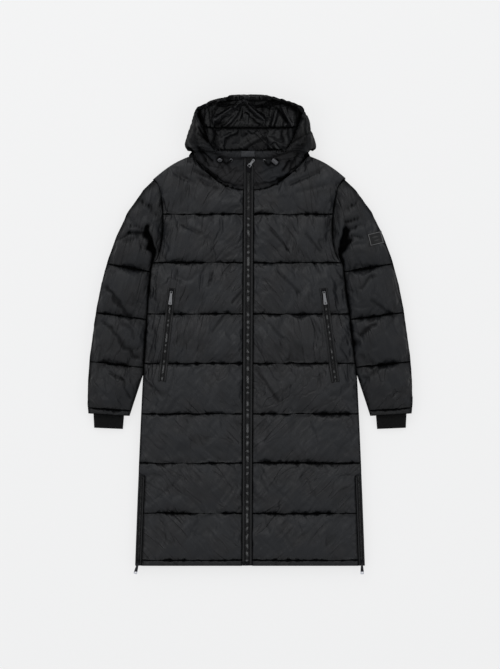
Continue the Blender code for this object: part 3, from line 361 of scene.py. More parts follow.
# ---- Fronts
# Two padded panels that meet at the zip. Each is one cut of cloth, quilted across seven times and
# stitched along the hem, and its side seam is open over the vent's zip.
HEM_Y = -0.623
HEM_HALF = 0.3097
CHEST_HALF = 0.262
UNDERARM_Y = 0.196
SIDE_CURVE = 0.61
SIDE_FREE_Y = -0.11  # below it the sleeve lies clear of the body's side
SHOULDER_Y = 0.417
SHOULDER_BOW = 0.008
NECK_X = 0.157
NECK_Y = 0.4815
FRONT_NECK_Y = 0.388
STITCH_LINES = [HEM_Y + h for h in (0.0, 0.0155, 0.141, 0.277, 0.409, 0.545, 0.678, 0.816, 0.947)]
BESIDE = (0.0018, 0.0045, 0.0082)  # extra rows of points beside a line of stitches
FRONT_BASE = 0.0166
EDGE_THICK = 0.005
STITCH_THICK = 0.008
STITCH_SINK = 0.0060
PUCKER_DEPTH = 0.0062
DRAG_DEPTH = 0.0042
FINE_DEPTH = 0.0018
FRONT_LOFT = 0.018
HEM_LOFT = 0.004
ZIP_TOP_Y = 0.476
ZIP_TOP_X = -0.0035
ZIP_HEM_X = -0.0081
ZIP_EDGE = 0.0138
VENT_TOP_Y = -0.374
VENT_STRIP = 0.017
POCKETS = {1: ((0.1972, 0.1245), (0.2302, -0.1283)), -1: ((0.2102, 0.1245), (0.2369, -0.1266))}
ARMHOLES = {1: (0.258, 0.248, 0.031), -1: (0.262, 0.262, 0.028)}  # x at the top, at the foot, depth
CHEST_FOLDS = {  # x, y of both ends, half width, depth
    -1: (
        (0.150, 0.442, 0.107, 0.425, 0.006, 0.005), (0.138, 0.418, 0.088, 0.393, 0.006, 0.004),
        (0.196, 0.430, 0.150, 0.408, 0.006, 0.003), (0.180, 0.296, 0.135, 0.272, 0.005, 0.004),
        (0.196, 0.172, 0.200, 0.146, 0.003, 0.004), (0.103, 0.163, 0.110, 0.130, 0.004, 0.004),
        (0.020, 0.118, 0.046, 0.086, 0.004, 0.005), (0.060, 0.060, 0.100, 0.010, 0.005, 0.004),
    ),
    1: (
        (0.109, 0.409, 0.190, 0.441, 0.006, 0.004), (0.130, 0.385, 0.200, 0.400, 0.006, 0.003),
        (0.056, 0.284, 0.103, 0.229, 0.004, 0.005), (0.151, 0.270, 0.192, 0.222, 0.004, 0.004),
        (0.172, 0.195, 0.192, 0.154, 0.004, 0.004), (0.076, 0.167, 0.131, 0.113, 0.005, 0.004),
        (0.017, -0.096, 0.076, -0.177, 0.005, 0.005), (0.050, 0.030, 0.090, -0.010, 0.004, 0.004),
    ),
}
PADDING = {"grow": 0.05, "bend": 0.02, "press": 0.35, "cap": 0.006}  # extra cut, stiffness, air, limit
sewn = []  # each simulated cloth: its object, and how it is blown up


def along_table(table, y):
    """The second column of a table at a value of its first, which falls from row to row."""
    for (y_a, x_a), (y_b, x_b) in zip(table, table[1:]):
        if y >= y_b:
            return mix(x_a, x_b, (y_a - y) / (y_a - y_b))
    return table[-1][1]


def puff(w):
    """The rise of a padded channel, from 0 at one stitched line, w = 0, to 0 at the next."""
    return max(0.0, 1 - abs(2 * w - 1) ** 2.4) ** 0.6


def round_edge(distance, radius):
    """0 at an edge and 1 from radius inwards, along a quarter circle."""
    return math.sqrt(1 - (1 - clamp(distance / radius)) ** 2)


def cloth(name, columns, rows, plan, core=(0, 0, -9), ring=False):
    """An open sheet of cloth. plan(i, j) gives each point's place, how far it is from a stitched
    line, how firmly it is held there, from 0 to 1, and how far it is from painted shade, such as
    that of a deep seam or fold. Its faces point away from the core."""
    bm = bmesh.new()
    bmesh.ops.create_grid(bm, x_segments=columns, y_segments=rows, size=0.5)
    cut = bm.verts.layers.float_vector.new("cut")
    border = bm.verts.layers.float.new("border")
    grip = bm.verts.layers.deform.verify()
    spots = {}
    for v in bm.verts:
        spots[v] = round((v.co.x + 0.5) * columns), round((v.co.y + 0.5) * rows)
    for v, (i, j) in spots.items():
        place, off, hold, *deep = plan(i, j)
        v.co = place
        v[cut] = (place.x, place.y, off)
        # how far the point is from painted shade, kept on it for the materials
        v[border] = deep[0] if deep else FAR_FROM_PAINTED_SHADE
        v[grip][0] = hold
    if ring:
        first = {j: v for v, (i, j) in spots.items() if i == 0}
        bmesh.ops.weld_verts(bm, targetmap={v: first[j] for v, (i, j) in spots.items() if i == columns})
    bm.normal_update()
    middle = Vector(core)
    if sum(f.normal.dot(f.calc_center_median() - middle) * f.calc_area() for f in bm.faces) < 0:
        bmesh.ops.reverse_faces(bm, faces=bm.faces[:])
    mesh = bpy.data.meshes.new(name)
    bm.to_mesh(mesh)
    bm.free()
    piece = new_object(name, mesh)
    piece.vertex_groups.new(name="held")
    return piece


def steps(marks, step, fine):
    """Shares from 0 to 1 of a length, step apart, and closer beside both ends."""
    ends = [m / marks for m in fine if m < marks / 2]
    count = max(2, round(marks / step))
    inner = [k / count for k in range(count + 1)]
    inner = [s for s in inner if ends[-1] + 0.4 * step / marks < s < 1 - ends[-1] - 0.4 * step / marks]
    return [0.0] + ends + inner + [1 - e for e in ends[::-1]] + [1.0]


def armhole_x(y, hand):
    t = clamp((SHOULDER_Y - y) / (SHOULDER_Y - UNDERARM_Y))
    top, foot, deep = ARMHOLES[hand]
    return mix(top, foot, t) - deep * max(0.0, math.sin(math.pi * t)) ** 0.5


def side_x(y, hand):
    if y >= UNDERARM_Y:
        return armhole_x(y, hand)
    up = (y - HEM_Y) / (UNDERARM_Y - HEM_Y)
    pulled = (CHEST_HALF - ARMHOLES[hand][1]) * clamp((y - SIDE_FREE_Y) / 0.23)
    return CHEST_HALF + (HEM_HALF - CHEST_HALF) * (1 - up) ** SIDE_CURVE - pulled


def shoulder_y(d):
    t = clamp((d - NECK_X) / (CHEST_HALF - NECK_X))
    return mix(NECK_Y, SHOULDER_Y, t) + SHOULDER_BOW * math.sin(math.pi * t)


def zip_edge(y, hand):
    """How far from the middle a front ends beside the zip."""
    return ZIP_EDGE + hand * mix(ZIP_HEM_X, ZIP_TOP_X, clamp((y - HEM_Y) / (ZIP_TOP_Y - HEM_Y)))


def front_neck_y(d, hand):
    edge = zip_edge(FRONT_NECK_Y, hand)
    return mix(FRONT_NECK_Y, NECK_Y, clamp((d - edge) / (NECK_X - edge)) ** 1.95)


def channels(lines, top, step, fine):
    """(channel, share of the way up it) for each row of points."""
    rows = []
    for k, (low, high) in enumerate(zip(lines, lines[1:] + [top])):
        rows += [(k, w) for w in steps(high - low, step, fine)[:-1]]
    return rows + [(len(lines) - 1, 1.0)]


BODY_ROWS = channels(STITCH_LINES, 0.45, 0.0054, BESIDE)
BODY_COLUMNS = steps(0.26, 0.0037, (0.002, 0.005))


def body_level(channel, w):
    upper = STITCH_LINES[channel + 1] if channel + 1 < len(STITCH_LINES) else SHOULDER_Y
    return mix(STITCH_LINES[channel], upper, w)


def off_line(channel, w, length, last=None):
    """Metres from the nearest line of stitches, in a channel of this length. The last channel has
    none above it."""
    return w * length if channel == last else min(w, 1 - w) * length


def gathers(d, line, off, seed):
    """How deep the short puckers are beside a stitched line: off is the distance above it."""
    slant = 1.3 * noise.noise(Vector((d * 14, line, seed)))
    spike = noise.noise(Vector(((d + slant * off) * 82, line * 3.1, seed)))
    reach = 0.0075 if off > 0 else 0.0055
    return PUCKER_DEPTH * max(0.0, spike + 0.12) * math.exp(-((abs(off) / reach) ** 1.5))


def drag_folds(d, y, seed):
    """How deep the long soft folds are, which fan down and outwards from the zip."""
    run, cross = 0.62 * d - 0.78 * y, 0.78 * d + 0.62 * y
    bend = 0.03 * noise.noise(Vector((run * 9, cross * 9, seed)))
    fold = noise.noise(Vector((run * 8, (cross + bend) * 26, seed)))
    there = clamp(0.35 + 1.6 * noise.noise(Vector((run * 7, cross * 7, seed + 5))))
    fine = noise.noise(Vector((run * 22, (cross + bend) * 60, seed + 2)))
    long, short = max(0.0, 1 - abs(fold) * 7), max(0.0, 1 - abs(fine) * 5)
    return (DRAG_DEPTH * long + FINE_DEPTH * short) * there


def ruffle(x, y, seed):
    """Uneven gathers along a stitched line: small shifts in x, y and z."""
    at = Vector((x * 85, y * 30, seed))
    return Vector((noise.noise(at) * 0.0012, noise.noise(at + Vector((0, 0, 9))) * 0.0011, 0))


def from_run(x, y, a, b):
    """How far x, y is from the straight run between two points."""
    start, run = Vector(a), Vector(b) - Vector(a)
    t = clamp((Vector((x, y)) - start).dot(run) / run.length_squared)
    return (Vector((x, y)) - start - run * t).length


def ridges(x, y, folds):
    """How far the folds stand up, or sink, at x, y."""
    total = 0
    for x_a, y_a, x_b, y_b, half, most in folds:
        total += most * math.exp(-((from_run(x, y, (x_a, y_a), (x_b, y_b)) / half) ** 2))
    return total


def painted_fold_shade(sunk):
    """How darkly a fold of this depth is painted, as a distance from painted shade."""
    return PAINTED_SHADE_REACH * (1 - clamp(sunk / 0.0085))


def painted_wall_shade(flatness):
    """Painted shade on a wall that turns down to the table: flatness is 0 where it is upright."""
    return 0.0012 + 0.0048 * clamp(flatness) if flatness < 1 else FAR_FROM_PAINTED_SHADE


def front(hand):
    last = len(STITCH_LINES) - 1

    def plan(i, j):
        channel, w = BODY_ROWS[j]
        level = body_level(channel, w)
        edge = zip_edge(level, hand)
        reach = side_x(level, hand) - (VENT_STRIP if level < VENT_TOP_Y else 0.0)
        d, y, length = mix(edge, reach, BODY_COLUMNS[i]), level, 0.0
        if channel == last:
            end = mix(edge, ARMHOLES[hand][0], BODY_COLUMNS[i])
            top = front_neck_y(end, hand) if end < NECK_X else shoulder_y(end)
            length = top - STITCH_LINES[last]
            y = mix(STITCH_LINES[last], top, w)
        else:
            length = STITCH_LINES[channel + 1] - STITCH_LINES[channel]
        rise = round_edge(reach - d, 0.065 if y < UNDERARM_Y else 0.035)
        beside_zip = mix(0.15, 1.0, round_edge(d - edge, 0.028))
        loft = (FRONT_LOFT if channel else HEM_LOFT) * puff(w) * rise * beside_zip
        pocket = from_run(d, y, *POCKETS[hand])
        near = ease((0.040 - pocket) / 0.022)
        fold = ridges(d, y, CHEST_FOLDS[hand]) * (1 - near)
        lift = mix(EDGE_THICK, STITCH_THICK, rise) + loft * mix(0.62, 1.0, near)
        place = Vector((hand * d, y, FRONT_BASE + lift))
        off = off_line(channel, w, length, last)
        border = i in (0, len(BODY_COLUMNS) - 1) or j in (0, len(BODY_ROWS) - 1)
        hold = 1.0 if border or w == 0.0 else 0.0
        if not border:
            upper = w > 0.5 and channel != last
            dip = gathers(d, channel + upper, (w - upper) * length, hand)
            dip += drag_folds(d, y, 3.0 * hand) * puff(w) * rise
            place.z -= dip * (1 - near) + fold
        if w == 0.0 and not border:
            place += ruffle(place.x, place.y, 3.0) - Vector((0, 0, STITCH_SINK * rise * (1 - near)))
        hold = max(hold, ease((0.023 - pocket) / 0.008))
        # Painted shade: along the side where the cloth turns down to the table or meets the sleeve,
        # beside the zip's band, and in the chest's folds.
        deep = painted_wall_shade((reach - d) / 0.006)
        if y > SIDE_FREE_Y:
            deep = (reach - d) * (0.8 if y < UNDERARM_Y else 2.4)
        return place, off, hold, min(deep, (d - edge) * 1.8, painted_fold_shade(fold))

    return cloth(f"padded_front_{SIDES[hand]}", len(BODY_COLUMNS) - 1, len(BODY_ROWS) - 1, plan)


def close_flat(piece, level):
    """Turns the cloth's edges down to a level and shuts the form there with its plain inside."""
    bm = bmesh.new()
    bm.from_mesh(piece.data)
    made = bmesh.ops.extrude_edge_only(bm, edges=[e for e in bm.edges if e.is_boundary])
    for g in made["geom"]:
        if isinstance(g, bmesh.types.BMVert):
            g.co.z = level
    bmesh.ops.holes_fill(bm, edges=[e for e in bm.edges if e.is_boundary], sides=0)
    bmesh.ops.recalc_face_normals(bm, faces=bm.faces[:])
    bm.to_mesh(piece.data)
    bm.free()


fronts = {hand: front(hand) for hand in SIDES}
for hand, piece in fronts.items():
    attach(piece, "coat")
    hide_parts(f"front_{SIDES[hand]}")
    sewn.append((piece, PADDING))

# ---- Sleeves
# Padded tubes, pressed flat beside the body with the arms down. Each is quilted across three times
# and ends in a stitched hem over a knitted cuff.
SLEEVE_LINES = (  # y of each line of stitches at the sleeve's outer and inner edge
    (0.417, 0.196), (0.190, 0.168), (0.059, 0.040), (-0.073, -0.089), (-0.197, -0.205),
    (-0.2125, -0.2192),
)
SLEEVE_OUTER = (  # y, x
    (0.417, 0.262), (0.390, 0.289), (0.331, 0.329), (0.266, 0.360), (0.201, 0.383), (0.136, 0.4007),
    (0.0716, 0.4136), (-0.058, 0.4317), (-0.123, 0.4369), (-0.188, 0.4379), (-0.220, 0.4350),
)
SLEEVE_FREE_Y = -0.105  # below it the sleeve swings out from the body
SLEEVE_SWING = 0.327
SLEEVE_GAP = -0.0012
SLEEVE_LOFT = 0.020
SLEEVE_THICK = 0.012
# Their depth also sets how black they are painted: painted shade in the armpits.
SLEEVE_PITS = {  # under each arm: x, y of both ends, half width, depth
    -1: (
        (0.2745, 0.289, 0.2775, 0.270, 0.0058, 0.012), (0.2765, 0.264, 0.267, 0.238, 0.0085, 0.016),
        (0.2625, 0.240, 0.2600, 0.216, 0.0068, 0.015), (0.261, 0.216, 0.2665, 0.178, 0.0050, 0.015),
    ),
    1: (
        (0.258, 0.287, 0.256, 0.266, 0.0050, 0.012), (0.257, 0.260, 0.247, 0.230, 0.0088, 0.016),
        (0.274, 0.252, 0.260, 0.245, 0.0050, 0.009), (0.247, 0.230, 0.2495, 0.182, 0.0050, 0.015),
    ),
}
SLEEVE_FOLDS = {  # the same, over the rest of the sleeve
    -1: (
        (0.305, 0.359, 0.286, 0.357, 0.0045, 0.005), (0.286, 0.357, 0.268, 0.347, 0.0045, 0.006),
        (0.268, 0.347, 0.250, 0.321, 0.0045, 0.006), (0.250, 0.321, 0.243, 0.302, 0.0045, 0.004),
        (0.317, 0.296, 0.285, 0.282, 0.004, 0.006), (0.351, 0.256, 0.325, 0.270, 0.004, 0.006),
        (0.325, 0.270, 0.284, 0.271, 0.004, 0.007), (0.341, 0.246, 0.297, 0.262, 0.005, 0.004),
        (0.383, 0.128, 0.323, 0.045, 0.006, 0.005), (0.391, 0.034, 0.302, -0.069, 0.006, 0.005),
        (0.342, 0.034, 0.310, -0.007, 0.005, 0.004), (0.372, -0.101, 0.348, -0.123, 0.005, 0.005),
        (0.345, -0.123, 0.318, -0.169, 0.005, 0.005),
    ),
    1: (
        (0.253, 0.335, 0.273, 0.345, 0.004, 0.005), (0.273, 0.345, 0.294, 0.361, 0.004, 0.005),
        (0.259, 0.300, 0.290, 0.312, 0.0045, 0.008), (0.257, 0.280, 0.282, 0.290, 0.004, 0.005),
        (0.282, 0.290, 0.314, 0.298, 0.004, 0.004), (0.273, 0.264, 0.298, 0.260, 0.004, 0.006),
        (0.298, 0.126, 0.333, 0.155, 0.006, 0.005), (0.295, -0.001, 0.336, 0.028, 0.006, 0.006),
        (0.281, -0.020, 0.284, -0.032, 0.007, 0.008), (0.330, 0.090, 0.385, 0.050, 0.006, 0.004),
        (0.310, -0.120, 0.360, -0.080, 0.006, 0.004),
    ),
}


def sleeve_inner_x(y, hand):
    reach = side_x(clamp(y, SLEEVE_FREE_Y, UNDERARM_Y), hand) + SLEEVE_GAP
    return reach + SLEEVE_SWING * max(0.0, SLEEVE_FREE_Y - y)


def sleeve_plan(t, channel, w, hand):
    """x, y of the sleeve at t from its outer to its inner edge, and its width there."""
    outer_y, inner_y = (mix(a, b, w) for a, b in zip(SLEEVE_LINES[channel], SLEEVE_LINES[channel + 1]))
    outer = Vector((along_table(SLEEVE_OUTER, outer_y), outer_y))
    inner = Vector((sleeve_inner_x(inner_y, hand), inner_y))
    flat = outer.lerp(inner, t)
    if channel == 0:
        seam_y = mix(SHOULDER_Y, UNDERARM_Y, t)
        tuck = -0.006 * ease(t / 0.06) * (1 - clamp(t / 0.3)) + SLEEVE_GAP * (1 - t)
        unbowed = mix(CHEST_HALF, ARMHOLES[hand][1], t)
        flat.x += (armhole_x(seam_y, hand) - unbowed + tuck) * (1 - w) ** 2
    return flat.x, flat.y, (outer - inner).length


SLEEVE_ROWS = [(0, w) for w in steps(0.14, 0.0042, BESIDE)[:-1]]
SLEEVE_ROWS += [(k, w) for k in (1, 2, 3) for w in steps(0.13, 0.0046, BESIDE)[:-1]]
SLEEVE_ROWS += [(4, w) for w in (0.0, 0.25, 0.5, 0.75, 1.0)]
SLEEVE_TOP = steps(0.15, 0.0045, (0.0015, 0.004))
SLEEVE_UNDER = [0.997, 0.985, 0.96, 0.92, 0.85, 0.7, 0.5, 0.3, 0.15, 0.08, 0.04, 0.015, 0.003]


def sleeve(hand):
    shares = SLEEVE_TOP + SLEEVE_UNDER
    top = len(SLEEVE_TOP)

    def plan(i, j):
        channel, w = SLEEVE_ROWS[j]
        k = i % len(shares)
        t = shares[k]
        x, y, width = sleeve_plan(t, channel, w, hand)
        length = mix(0.25, 0.03, t) if channel == 0 else 0.13 if channel < 4 else 0.015
        off = off_line(channel, w, length)
        if k >= top:
            z = FRONT_BASE * (1 - round_edge(min(t, 1 - t) * width, 0.016))
            return Vector((hand * x, y, z)), off, 1.0
        across = max(0.0, 1 - abs(2 * t - 1) ** 2.5) ** 0.5
        loft = SLEEVE_LOFT * (0.25 if channel == 4 else 1.0) * clamp(length / 0.12, 0.3, 1.0)
        rise = round_edge(w * length, 0.04) if channel == 0 else 1.0
        waver = 0.007 * noise.noise(Vector((x * 45, y * 45, 3.0 * hand)))
        pit = ridges(x + waver, y - waver, SLEEVE_PITS[hand])
        sunk = (pit + ridges(x + waver, y - waver, SLEEVE_FOLDS[hand])) * rise
        lifted = max(across * (SLEEVE_THICK * rise + loft * 0.85 * puff(w)) - sunk, 0.0)
        place = Vector((hand * x, y, FRONT_BASE + EDGE_THICK + lifted))
        border = k in (0, top - 1) or j in (0, len(SLEEVE_ROWS) - 1)
        hold = 1.0 if border or w == 0.0 else 0.0
        if not border:
            upper = w > 0.5
            dip = gathers(x, 20 + channel + upper, (w - upper) * length, hand) * clamp(2 * t)
            place.z -= (dip + drag_folds(0.4 - x, y, 7.0 * hand) * puff(w)) * across
        if w == 0.0 and not border:
            place += ruffle(place.x, place.y, 5.0) - Vector((0, 0, STITCH_SINK * across if j else 0))
        # Painted shade: along the inner edge beside the body, along the armhole's seam, where the edges
        # turn down to the table, and in the folds, darkest in the armpits.
        deep = (1 - t) * width * 0.8 if y > SIDE_FREE_Y else painted_wall_shade((1 - t) * width / 0.008)
        armhole = w * length * 2.2 if channel == 0 else FAR_FROM_PAINTED_SHADE
        deep = min(deep, armhole, painted_wall_shade(t * width / 0.010))
        return place, off, hold, min(deep, painted_fold_shade(max(sunk, pit * 0.7)))

    return cloth(f"padded_sleeve_{SIDES[hand]}", len(shares), len(SLEEVE_ROWS) - 1, plan, ring=True)


sleeves = {hand: sleeve(hand) for hand in SIDES}
for hand, piece in sleeves.items():
    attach(piece, "coat")
    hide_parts(f"sleeve_{SIDES[hand]}")
    sewn.append((piece, PADDING))

# ---- Back
# One padded panel from hem to shoulders, quilted on the same lines. Its channels lie flattened on
# the table, and only the stitching stands off it.
BACK_TOP = 0.016
BACK_ROUND = 0.012  # how far in from its edges and stitches the back reaches the table
BACK_EDGE_RISE = 0.012
BACK_STITCH_RISE = 0.0042
BACK_RISE_MOST = 0.0135
BACK_ROWS = channels(STITCH_LINES, 0.45, 0.0075, BESIDE)
BACK_COLUMNS = [2 * s - 1 for s in steps(0.58, 0.0068, (0.002, 0.006))]


def back_plan(i, j):
    channel, w = BACK_ROWS[j]
    level = body_level(channel, w)
    share = BACK_COLUMNS[i]
    reach = side_x(level, 1 if share > 0 else -1)
    d, y, inside = abs(share) * reach, level, min(reach * (1 - abs(share)), level - HEM_Y)
    length = 0.13
    if channel == len(STITCH_LINES) - 1:
        end = abs(share) * CHEST_HALF
        top = shoulder_y(end) if end > NECK_X else NECK_Y
        length = top - STITCH_LINES[channel]
        y = mix(STITCH_LINES[channel], top, w)
        inside = min(inside, top - y)
    off = off_line(channel, w, length, len(STITCH_LINES) - 1)
    z = BACK_EDGE_RISE * (1 - round_edge(inside, BACK_ROUND))
    z += BACK_STITCH_RISE * (1 - round_edge(off, BACK_ROUND))
    border = i in (0, len(BACK_COLUMNS) - 1) or j in (0, len(BACK_ROWS) - 1)
    place = Vector((math.copysign(d, share), y, min(z, BACK_RISE_MOST)))
    return place, off, 1.0 if border or w == 0.0 else 0.0


back = cloth("padded_back", len(BACK_COLUMNS) - 1, len(BACK_ROWS) - 1, back_plan, core=(0, 0, 9))
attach(back, "coat")
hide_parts("back_panel")
sewn.append((back, {"grow": 0.07, "bend": 0.03, "press": 1.6, "cap": 0.008}))

# ---- Hood and collar
# Each half of the hood is cut in one with its half of the stand collar, and a centre panel joins
# the halves over the head. All three are lightly padded.
HOOD_SECTIONS = (  # rim x, y, z, side x, y, z, under x, y, z, neck x, 1 where it ends in front
    (0.060, 0.6295, 0.078, 0.060, 0.6385, 0.044, 0.060, 0.622, 0.000, 0.060, 0.0),
    (0.105, 0.6150, 0.080, 0.113, 0.6205, 0.044, 0.098, 0.603, 0.000, 0.076, 0.0),
    (0.1395, 0.5970, 0.083, 0.1478, 0.5935, 0.045, 0.129, 0.575, 0.000, 0.096, 0.0),
    (0.1290, 0.5594, 0.086, 0.1632, 0.5540, 0.046, 0.143, 0.538, 0.000, 0.116, 0.0),
    (0.1127, 0.5190, 0.084, 0.1740, 0.5130, 0.046, 0.153, 0.507, 0.001, 0.138, 0.0),
    (0.0960, 0.4950, 0.079, 0.1660, 0.4900, 0.050, 0.159, 0.4865, 0.020, 0.1565, 0.5),
    (0.0800, 0.4928, 0.074, 0.1220, 0.4790, 0.062, 0.136, 0.4680, 0.042, 0.1370, 1.0),
    (0.0600, 0.4928, 0.069, 0.0900, 0.4600, 0.060, 0.104, 0.4390, 0.042, 0.1090, 1.0),
    (0.0380, 0.4928, 0.065, 0.0550, 0.4480, 0.056, 0.064, 0.4150, 0.042, 0.0670, 1.0),
    (0.0135, 0.4928, 0.061, 0.0135, 0.4480, 0.054, 0.0135, 0.4080, 0.038, 0.0135, 1.0),
)
LAST_SECTION = len(HOOD_SECTIONS) - 1
HOOD_TOP_Y = 0.6405
HOOD_CLOTH = 0.005
HOOD_GRID = (52, 90)
CROWN_GRID = (30, 60)
NECK_GAP = 0.0014
RIM_GATHER = 0.0026
RIM_STITCH_SINK = 0.0020
HOOD_DRAG_DEPTH = 0.0042
HOOD_FINE_DEPTH = 0.0016


def hood_section(at, hand):
    """One section of the shell, as points from the rim round to the neck seam."""
    row = through(HOOD_SECTIONS, at)
    rim_x, rim_y, rim_z, reach_x, side_y, side_z = row[:6]
    under_x, under_y, under_z, neck_x, front_share = row[6:]
    turned = ease((front_share - 0.2) / 0.6)
    if at > 6:
        shift = (zip_edge(ZIP_TOP_Y, hand) - HOOD_SECTIONS[-1][0]) * clamp((at - 6) / 3)
        rim_x, reach_x, under_x, neck_x = (x + shift for x in (rim_x, reach_x, under_x, neck_x))
    neck_y = mix(NECK_Y, front_neck_y(neck_x, hand), clamp(2 * turned - 1)) + NECK_GAP
    neck_z = mix(0.0, FRONT_BASE + STITCH_THICK, clamp(2 * turned))
    crest = (mix(rim_x, reach_x, 0.3), mix(rim_y, side_y, 0.3), rim_z + 0.009 * mix(1, 0.4, turned))
    under = (under_x, max(under_y, neck_y + 0.004), max(under_z, 0.0))
    seam = (neck_x, neck_y, neck_z)
    lower = 0.5 + 0.2 * turned
    middle = (mix(under_x, neck_x, 0.5), mix(under[1], neck_y, 0.5), mix(under[2], neck_z, lower))
    return [(rim_x, rim_y, rim_z), crest, (reach_x, side_y, side_z), under, middle, seam]


def hood_point(share, at, hand):
    x, y, z = through(hood_section(at, hand), share)
    return Vector((hand * x, y, max(z, 0.0)))


def rim_gathers(u, share, seed):
    """How far the drawcord's tunnel, a band along the rim, is gathered and sunk at its stitching."""
    off = (share - 1.3) * 0.016
    spike = noise.noise(Vector((u * 95 + share * 0.7, share * 0.5, seed)))
    band = ease((share - 0.2) / 0.4) * ease((1.5 - share) / 0.4)
    inside = RIM_GATHER * spike * (band + math.exp(-((off / 0.009) ** 2)))
    stitched = RIM_STITCH_SINK * math.exp(-((off / 0.0024) ** 2))
    return inside - stitched, max(abs(off), 0.0013)


def hood_fold(point, seed):
    """Soft creases over the hood's sides and collar."""
    fold = noise.noise(Vector((point.x * 16, point.y * 34, point.z * 16 + seed)))
    fine = noise.noise(Vector((point.x * 42, point.y * 60, point.z * 42 + seed)))
    long, short = max(0.0, 1 - abs(fold) * 6), max(0.0, 1 - abs(fine) * 4)
    return HOOD_DRAG_DEPTH * long + HOOD_FINE_DEPTH * short


# Each fold is also painted darker by its depth, painted shade; the last on each side is a painted
# shadow in the corner where the hood meets the shoulder.
HOOD_FOLDS = {  # x, y of both ends, half width, depth
    -1: (
        (0.138, 0.552, 0.113, 0.519, 0.0040, 0.008), (0.141, 0.537, 0.095, 0.504, 0.0040, 0.006),
        (0.137, 0.493, 0.115, 0.451, 0.0040, 0.006), (0.123, 0.486, 0.103, 0.464, 0.0045, 0.007),
        (0.118, 0.438, 0.092, 0.419, 0.0055, 0.006), (0.158, 0.520, 0.128, 0.487, 0.0050, 0.004),
        (0.060, 0.455, 0.052, 0.435, 0.0040, 0.004), (0.078, 0.450, 0.066, 0.430, 0.0040, 0.004),
        (0.168, 0.496, 0.150, 0.485, 0.0050, 0.010),
    ),
    1: (
        (0.139, 0.577, 0.119, 0.559, 0.0040, 0.007), (0.119, 0.559, 0.097, 0.512, 0.0045, 0.009),
        (0.159, 0.539, 0.109, 0.512, 0.0040, 0.006), (0.127, 0.484, 0.109, 0.444, 0.0050, 0.006),
        (0.107, 0.462, 0.090, 0.440, 0.0045, 0.007), (0.106, 0.428, 0.078, 0.414, 0.0060, 0.007),
        (0.150, 0.515, 0.118, 0.487, 0.0050, 0.004), (0.052, 0.452, 0.062, 0.432, 0.0040, 0.003),
        (0.168, 0.495, 0.150, 0.480, 0.0050, 0.010),
    ),
}
STOPS = {}  # the middle of each cord stop
for hand, side in SIDES.items():
    corners = [v.co for v in bpy.data.objects[f"cord_stop_{side}"].data.vertices]
    STOPS[hand] = (sum(v.x for v in corners) / len(corners), sum(v.y for v in corners) / len(corners))


def hood_side(hand):
    columns, rows = HOOD_GRID
    shares = [5 * (k / columns) ** 1.15 for k in range(columns + 1)]

    def plan(i, j):
        share, at = shares[i], mix(0.004, LAST_SECTION, j / rows)
        point = hood_point(share, at, hand)
        along = hood_point(min(share + 0.1, 5), at, hand) - hood_point(max(share - 0.1, 0), at, hand)
        across = hood_point(share, min(at + 0.1, LAST_SECTION), hand)
        across -= hood_point(share, max(at - 0.1, 0), hand)
        out = along.cross(across).normalized() * -hand
        border = i in (0, columns) or j in (0, rows)
        rise, off = rim_gathers(at * 0.04, share, hand * 2.0)
        route = CORD_ROUTES[hand]
        corded = ease((0.018 - from_run(point.x, point.y, route[0][:2], route[-1][:2])) / 0.006)
        free = round_edge(min(j, rows - j) / rows, 0.06) * round_edge((5 - share) / 5, 0.06)
        free = free * (1 - corded)
        sunk = ridges(hand * point.x, point.y, HOOD_FOLDS[hand]) if point.z > 0.02 else 0.0
        point += out * (rise - (hood_fold(point, hand * 3.0) + sunk) * clamp(share - 1.2)) * free
        off = min(off, (5 - share) * 0.012)
        # Painted shade: along the neck seam in front, in the folds, on the walls as they stand upright,
        # and towards the rim.
        deep = min(FAR_FROM_PAINTED_SHADE, max(0.0, 5 - share) * 0.012) if at > 4.2 else FAR_FROM_PAINTED_SHADE
        deep = min(deep, painted_fold_shade(sunk), painted_wall_shade(abs(out.z) / 0.9), 0.0011 + share * 0.0080)
        if at > 5.5:
            # Painted shadows of the cord along its route and around each cord stop.
            beside = min(from_run(point.x, point.y, a[:2], b[:2]) for a, b in zip(route, route[1:]))
            deep = min(deep, 0.0008 + beside * 0.9)
            off_stop = (point.xy - Vector(STOPS[hand])).length
            deep = min(deep, 0.0014 + max(0.0, off_stop - 0.0085) * 0.9)
        return point, off, 1.0 if border else corded, deep

    return cloth(f"padded_hood_{SIDES[hand]}", columns, rows, plan, core=(hand * 0.06, 0.55, 0.04))


def crown_plan(i, j):
    columns, rows = CROWN_GRID
    u, share = 2 * i / columns - 1, 5 * j / rows
    edge = hood_point(share, 0.0, 1)
    bow = (HOOD_TOP_Y - HOOD_SECTIONS[0][4]) * (1 - u**2) * (1 - ease((share - 2.1) / 2.9))
    border = i in (0, columns) or j in (0, rows)
    place = Vector((u * (HOOD_SECTIONS[0][0] - 0.0004), edge.y + bow, edge.z))
    rise, off = rim_gathers(u * 0.06, share, 7.0)
    place += Vector((0, rise * 0.3, rise * 0.8)) * round_edge(1 - abs(u), 0.12)
    # Painted shade towards the rim and down the crown's wall as it turns to the table.
    deep = min(painted_wall_shade(1.5 - 0.7 * share) if share < 4 else FAR_FROM_PAINTED_SHADE, 0.0011 + share * 0.0090)
    return place, min(off, (1 - abs(u)) * 0.06), 1.0 if border else 0.0, deep


hood = [hood_side(hand) for hand in SIDES]
hood.append(cloth("padded_crown", *CROWN_GRID, crown_plan, core=(0, 0.56, 0.04)))
for piece, node in zip(hood, ("hood_side_left", "hood_side_right", "hood_crown")):
    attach(piece, "coat")
    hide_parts(node)
    sewn.append((piece, {"grow": 0.05, "bend": 0.02, "press": 0.15, "cap": 0.004}))

# ---- Blowing up the padding
# All the quilted cloth is cut a little large and blown up at once between its stitching, which
# draws its own puckers and drag lines.
FRAMES = 20


